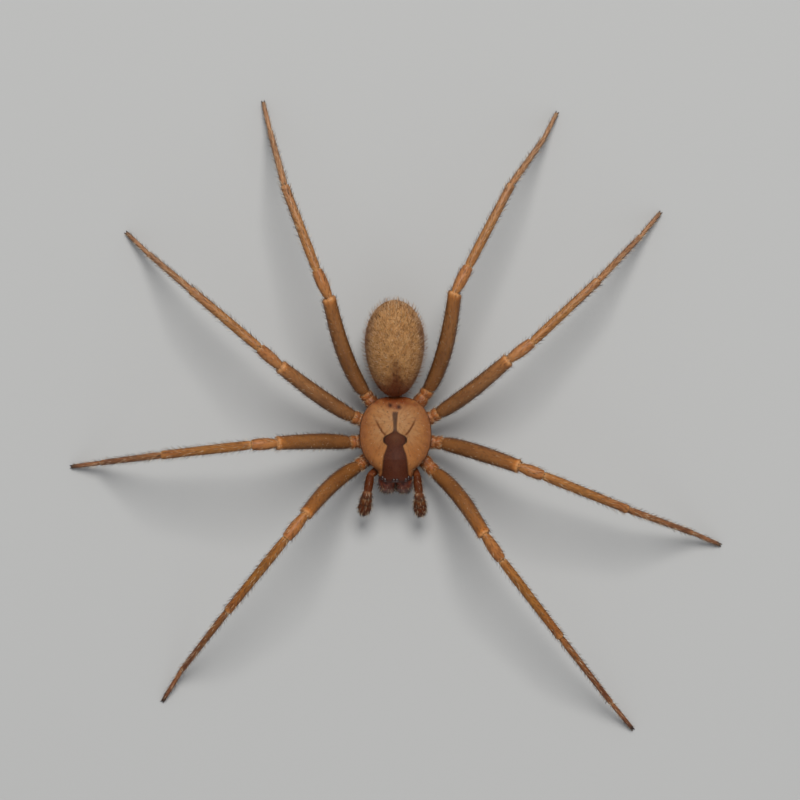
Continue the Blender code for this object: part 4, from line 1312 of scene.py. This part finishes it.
def make_palp_bulb(side):
    """The round bulb under the palp's tip, drawn out into a thin curved embolus."""
    joints = palp_joints(side)
    way = unit(joints[-1] - joints[-2])
    below = unit(np.cross(way, (side, 0, 0)))
    below = below if below[2] < 0 else -below
    centre = joints[-2] + way * BULB_AHEAD + below * BULB_BELOW
    ball = loft("bulb", egg_rings(Matrix.Translation(centre), (BULB_RADIUS,) * 3, 24, 28))
    path = [centre + below * down + way * ahead - (side * inward, 0, 0)
            for down, ahead, inward in EMBOLUS_PATH]
    thread = loft("embolus", horn_rings(path, EMBOLUS_RADII, 12))
    dress(joined(f"palp_bulb_{SIDE_NAME[side]}", [ball, thread]), "chelicera_chitin", "palp")


def jaw_frame(side):
    """A jaw's top and tip, and the ways along it and out of its front."""
    top, tip = mirrored(side, JAW_TOP), mirrored(side, JAW_TIP)
    way = unit(tip - top)
    return top, tip, way, unit(np.cross(way, (1.0, 0, 0)))


def jaw_rings(side, count=56, sides=64):
    """A stout tapering jaw with a swollen front, flat where it meets its twin."""
    top, tip, _, front = jaw_frame(side)
    shares, widths, depths = zip(*JAW_OUTLINE)
    across, ahead = np.cos(full_turn(sides)), np.sin(full_turn(sides))
    inner = across < 0
    rings = []
    for share in dense_ends(count):
        centre = top + (tip - top) * share
        wide, deep = np.interp(share, shares, widths), np.interp(share, shares, depths)
        flat = smooth_step(0.02, 0.12, share) * (1 - smooth_step(0.72, 0.98, share))
        room = side * centre[0] - JAW_GAP / 2 - (max(widths) - wide) * (1 - 0.95 * flat)
        power = 1.0 - np.where(inner, 0.5, 0.15) * smooth_step(0.0, 0.35, share)
        reach = np.sign(across) * np.abs(across) ** power * np.where(inner, max(room, 0.05), wide)
        rings.append(centre + np.outer(reach, (side, 0, 0)) + np.outer(ahead * deep, front))
    return np.array(rings)


def make_chelicerae():
    for side in SIDES:
        name = f"chelicera_{SIDE_NAME[side]}"
        dress(loft(name + "_skin", jaw_rings(side)), "chelicera_chitin", "chelicera", name)
        top, _, way, front = jaw_frame(side)
        path = [top + (side * x, 0, 0) + front * ahead + way * along for x, ahead, along in FANG_PATH]
        fang = loft(f"fang_{SIDE_NAME[side]}", horn_rings(path, FANG_RADII, 20, 30))
        dress(fang, "fang_chitin", "chelicera")


def make_eyes():
    """Six eyes in three pairs: a glossy dome on a dark ring of raised cuticle each."""
    for name, x, y, turn in EYE_PAIRS:
        lenses, mounts = [], []
        for way in SIDES:
            spot = np.array((x + cos(turn) * EYE_SPACING / 2 * way, y + sin(turn) * EYE_SPACING / 2 * way, 0))
            spot[2] = carapace_height(spot[0], spot[1])
            place = Matrix.Translation(spot - (0, 0, LENS_SINK))
            rings = egg_rings(place, LENS_HALF, 28, 32)
            out = unit(rings - spot)
            lenses.append(loft("lens", rings, {"iris": smooth_step(0.35, 0.85, out[..., 2])}))
            place = Matrix.Translation(spot - (0, 0, MOUNT_SINK))
            mounts.append(loft("mount", egg_rings(place, MOUNT_HALF, 24, 36)))
        dress(joined(name + "_lenses", lenses), "eye_lens", "eye", name)
        dress(joined(name + "_rims", mounts), "fang_chitin", "eye")


# Coats


def hair_shades(rng, count, dark_share):
    """A shade from 0, dark, to 1, pale for each hair, this share of them dark."""
    dark = rng.random(count) < dark_share
    return np.where(dark, rng.uniform(*DARK_SHADES, count), rng.uniform(*PALE_SHADES, count))


def grow_abdomen_coat():
    """The velvet of the abdomen in two pieces, upper side and belly, and guard hairs that stand out of it."""
    rings = abdomen_rings()
    marks = abdomen_marks(rings)
    upper = smooth_step(-0.55, -0.25, rings[..., 2] - ABDOMEN_CENTRE[2])
    bare_front = 1.0 - 0.75 * marks["front"]
    own = sizes()
    velvet = own.abdomen_length / MM
    guard = own.guard_length / MM
    dense, below = own.abdomen_count, 1 - upper
    for name, count, length, stand, turn, weight, seed, shares in (
            ("abdomen_coat_upper", int(dense * 0.70), velvet, 26, 42, upper * bare_front, 3, (1.6, 1.5)),
            ("abdomen_coat_belly", int(dense * 0.30), velvet, 26, 30, below * bare_front, 4, (1.6, 1.5)),
            ("abdomen_guard_hairs", own.guard_count, guard, 54, 24, bare_front, 5, (0.4, 0.7))):
        coat = Coat(rings, count, seed, weight)
        rng = coat.rng
        lie = np.broadcast_to((0.0, 1.0, -0.25), coat.point.shape)
        angle = rng.normal(stand, 8, count).clip(6, 75)
        values = {key: coat.at(value) for key, value in marks.items()}
        values["shade"] = rng.beta(*shares, count)
        piece = coat.grow(name, coat.lean(lie, angle + 12, turn), coat.lean(lie, angle - 12, turn),
                          length * rng.uniform(0.6, 1.15, count),
                          own.thickness / MM * rng.uniform(0.7, 1.0, count), values)
        dress(piece, "abdomen_hair", "abdomen")


def grow_leg_coats():
    """Fine hair that stands off each leg towards its tip, shorter and denser on the foot."""
    for side in SIDES:
        for pair in PAIRS:
            rings, along = leg_rings(side, pair)
            weight = read_off(LEG_HAIR_DENSITY, along)[:, None] * smooth_step(0.02, 0.08, rings[..., 2])
            coat = Coat(rings, sizes().leg_count, 100 + pair * 10 + side, weight)
            place = coat.at(np.repeat(along[:, None], rings.shape[1], axis=1))
            rng = coat.rng
            full = sizes().leg_length / MM * read_off(LEG_HAIR_LENGTH, place)
            length = full * rng.uniform(0.6, 1.25, coat.count)
            stand = rng.normal(LEG_HAIR_STAND, LEG_HAIR_STAND_SPREAD, coat.count).clip(12, 70)
            values = {"shade": hair_shades(rng, coat.count, read_off(LEG_HAIR_DARK, place))}
            ways = [coat.lean(coat.forward, stand + bend, LEG_HAIR_YAW) for bend in (8, -14)]
            piece = coat.grow(f"{leg_name(side, pair)}_coat", *ways, length,
                              sizes().thickness / MM * rng.uniform(0.7, 1.05, coat.count), values)
            dress(piece, "body_hair", "femur")


def grow_carapace_coat():
    """A few short hairs on the shield that point to the fovea, denser at its edge."""
    rings = cephalothorax_rings(120, 120)
    x, y, z = rings[..., 0], rings[..., 1], rings[..., 2]
    top = smooth_step(MARGIN_Z + 0.02, MARGIN_Z + 0.08, z)
    edge = smooth_step(0.8, 1.0, np.abs(x) / half_width(y))
    weight = top * (0.6 + 0.4 * smooth_step(0.5, 1.5, y) + 1.2 * edge)
    weight = weight * (1 - 0.6 * violin_mark(x, y)) + 0.6 * smooth_step(0.3, 0.6, MARGIN_Z - z)
    coat = Coat(rings, sizes().carapace_count, 7, weight)
    above = coat.point[:, 2:] > MARGIN_Z
    toward = np.where(above, np.array((0.0, 0.9, 0.0)) - coat.point * (1, 1, 0), (0.0, 1.0, 0.0))
    # Hairs of the sternum grow on its plate, which lies a little below the skin
    middle, wide, rear, front = STERNUM_PLATE
    middle, half = middle + (rear - front) / 2, (rear + front) / 2
    plate = limited(1.0 - (coat.point[:, 0] / wide) ** 2 - ((coat.point[:, 1] - middle) / half) ** 2)
    coat.point[:, 2] -= np.where(above[:, 0] | (plate <= 0), 0.0, 0.02 + 0.05 * plate)
    rng = coat.rng
    length = sizes().carapace_length / MM * rng.uniform(0.6, 1.4, coat.count)
    shade = hair_shades(rng, coat.count, 0.85) * (1.0 - 0.7 * coat.at(violin_mark(x, y)))
    piece = coat.grow("carapace_coat", coat.lean(toward, 35, 14), coat.lean(toward, 12, 14), length,
                      sizes().thickness / MM * 0.7, {"shade": shade})
    dress(piece, "body_hair", "carapace")


def bristles(name, coat, lie, dark_share, lengths, stands, spread, thickness):
    """Bristles on a coat's spots, this share of them dark, that stand up and then bend down to a lie.

    Lengths are the shortest and longest share of the full length, or one length in mm for all."""
    values = {"shade": hair_shades(coat.rng, coat.count, dark_share)}
    length = lengths
    if np.ndim(lengths):
        length = sizes().bristle_length / MM * coat.rng.uniform(*lengths, coat.count)
    ways = [coat.lean(lie, stand, spread) for stand in stands]
    return coat.grow(name, *ways, length, sizes().thickness / MM * thickness, values)


def grow_palp_bristles(side):
    rings, along = palp_rings(side)
    weight = np.repeat(read_off(PALP_HAIR_DENSITY, along)[:, None], rings.shape[1], axis=1)
    coat = Coat(rings, sizes().palp_count, 300 + side, weight)
    name = f"palp_{SIDE_NAME[side]}_bristles"
    piece = bristles(name, coat, coat.forward, 0.72, (0.4, 0.9), (46, 22), 12, 0.9)
    dress(piece, "body_hair", "palp")


def grow_jaw_bristles(side):
    rings = jaw_rings(side)
    ahead = (rings - rings.mean(axis=1, keepdims=True)) @ jaw_frame(side)[3]
    down = np.linspace(0, 1, len(rings))[:, None]
    weight = (smooth_step(-0.1, 0.3, ahead) + down) * smooth_step(0.1, 0.4, down)
    coat = Coat(rings, sizes().jaw_count, 320 + side, weight)
    lie = np.broadcast_to((0.0, -0.4, -1.0), coat.point.shape)
    name = f"chelicera_{SIDE_NAME[side]}_bristles"
    dress(bristles(name, coat, lie, 0.75, (0.35, 0.9), (48, 26), 16, 0.9), "body_hair", "chelicera")


def grow_spinneret_bristles():
    pieces = []
    for spinneret in SPINNERETS[:2]:
        for side in SIDES:
            coat = Coat(spinneret_rings(side, *spinneret), sizes().spinneret_count, 340 + side)
            pieces.append(bristles("bristles", coat, coat.forward, 0.5, 0.13, (40, 18), 12, 0.7))
    dress(joined("spinneret_bristles", pieces), "body_hair", "spinneret")


def grow_bristles():
    """Bristles of the palps, the jaws and the spinnerets."""
    for side in SIDES:
        grow_palp_bristles(side)
        grow_jaw_bristles(side)
    grow_spinneret_bristles()


# Operators and panel


class SPIDER_OT_cephalothorax(bpy.types.Operator):
    """Make the shield with its violin, the sternum and the labium"""

    bl_idname = "spider.cephalothorax"
    bl_label = "Cephalothorax"

    def execute(self, context):
        make_cephalothorax()
        make_sternum()
        return {"FINISHED"}


class SPIDER_OT_abdomen(bpy.types.Operator):
    """Make the abdomen, the waist and the spinnerets"""

    bl_idname = "spider.abdomen"
    bl_label = "Abdomen"

    def execute(self, context):
        make_abdomen()
        make_waist_and_spinnerets()
        return {"FINISHED"}


class SPIDER_OT_legs(bpy.types.Operator):
    """Make the eight legs with their claws"""

    bl_idname = "spider.legs"
    bl_label = "Legs"

    def execute(self, context):
        make_legs()
        return {"FINISHED"}


class SPIDER_OT_mouthparts(bpy.types.Operator):
    """Make the palps, the jaws and the fangs"""

    bl_idname = "spider.mouthparts"
    bl_label = "Palps and jaws"

    def execute(self, context):
        make_palps()
        make_chelicerae()
        return {"FINISHED"}


class SPIDER_OT_eyes(bpy.types.Operator):
    """Make the six eyes"""

    bl_idname = "spider.eyes"
    bl_label = "Eyes"

    def execute(self, context):
        make_eyes()
        return {"FINISHED"}


class SPIDER_OT_coats(bpy.types.Operator):
    """Grow the hair of the abdomen, legs, shield, palps, jaws and spinnerets"""

    bl_idname = "spider.coats"
    bl_label = "Hair"

    def execute(self, context):
        grow_abdomen_coat()
        grow_leg_coats()
        grow_carapace_coat()
        grow_bristles()
        return {"FINISHED"}


# Metres: half the floor's width, and each light's name, place, diameter and colour
FLOOR_REACH = 1.5
LIGHTS = (("key", (0.03, 0.25, 0.42), 0.26, (1.0, 0.985, 0.96)),
          ("fill", (0.10, -0.40, 0.30), 0.30, (0.95, 0.98, 1.0)))
ROOM_COLOUR = (0.93, 0.96, 1.0, 1.0)


def make_floor():
    mesh = bpy.data.meshes.new("floor")
    corners = [(x * FLOOR_REACH, y * FLOOR_REACH, 0) for x, y in ((-1, -1), (1, -1), (1, 1), (-1, 1))]
    mesh.from_pydata(corners, [], [(0, 1, 2, 3)])
    floor = add_object("floor", mesh)
    floor.data.materials.append(surface("floor_board"))


def make_lights():
    powers = (studio().key_power, studio().fill_power)
    for (name, place, diameter, colour), power in zip(LIGHTS, powers):
        data = bpy.data.lights.new(name, "AREA")
        data.shape = "DISK"
        data.size = diameter
        data.energy = power
        data.color = colour
        light = add_object(name, data)
        light.location = place
        light.rotation_euler = (-Vector(place)).to_track_quat("-Z", "Y").to_euler()
        light.visible_camera = False
    world = bpy.data.worlds.new("room")
    world.use_nodes = True
    background = world.node_tree.nodes["Background"]
    background.inputs["Color"].default_value = ROOM_COLOUR
    background.inputs["Strength"].default_value = studio().room_light
    bpy.context.scene.world = world


def make_camera():
    data = bpy.data.cameras.new("camera")
    height = studio().camera_height
    data.sensor_width = 36
    data.lens = data.sensor_width * height / studio().frame_width
    data.clip_start = 0.05
    data.clip_end = 10
    camera = add_object("camera", data)
    camera.location = (studio().view_x, studio().view_y, height)
    bpy.context.scene.camera = camera
    bpy.context.scene.view_settings.view_transform = "Standard"


class SPIDER_OT_studio(bpy.types.Operator):
    """Make the floor, the lights and the camera"""

    bl_idname = "spider.studio"
    bl_label = "Studio"

    def execute(self, context):
        make_floor()
        make_lights()
        make_camera()
        return {"FINISHED"}


OPERATORS = (SPIDER_OT_studio, SPIDER_OT_cephalothorax, SPIDER_OT_abdomen, SPIDER_OT_legs,
             SPIDER_OT_mouthparts, SPIDER_OT_eyes, SPIDER_OT_coats)


class SPIDER_PT_panel(bpy.types.Panel):
    """Lists the spider's pieces, sizes and colours."""

    bl_label = "Brown recluse spider"
    bl_space_type = "VIEW_3D"
    bl_region_type = "UI"
    bl_category = "Spider"

    def draw(self, context):
        for operator in OPERATORS:
            self.layout.operator(operator.bl_idname)
        for group in (context.scene.spider_hair, context.scene.spider_colours, context.scene.spider_studio):
            box = self.layout.box()
            for key in group.bl_rna.properties.keys():
                if key not in ("rna_type", "name"):
                    box.prop(group, key)


GROUPS = (SpiderHair, SpiderColours, SpiderStudio)
CLASSES = (*GROUPS, *OPERATORS, SPIDER_PT_panel)


def register():
    for cls in CLASSES:
        bpy.utils.register_class(cls)
    bpy.types.Scene.spider_hair = PointerProperty(type=SpiderHair)
    bpy.types.Scene.spider_colours = PointerProperty(type=SpiderColours)
    bpy.types.Scene.spider_studio = PointerProperty(type=SpiderStudio)


def unregister():
    del bpy.types.Scene.spider_studio
    del bpy.types.Scene.spider_colours
    del bpy.types.Scene.spider_hair
    for cls in reversed(CLASSES):
        bpy.utils.unregister_class(cls)


def main():
    register()
    bpy.ops.spider.studio()
    bpy.ops.spider.cephalothorax()
    bpy.ops.spider.abdomen()
    bpy.ops.spider.legs()
    bpy.ops.spider.mouthparts()
    bpy.ops.spider.eyes()
    bpy.ops.spider.coats()


if __name__ == "__main__":
    main()
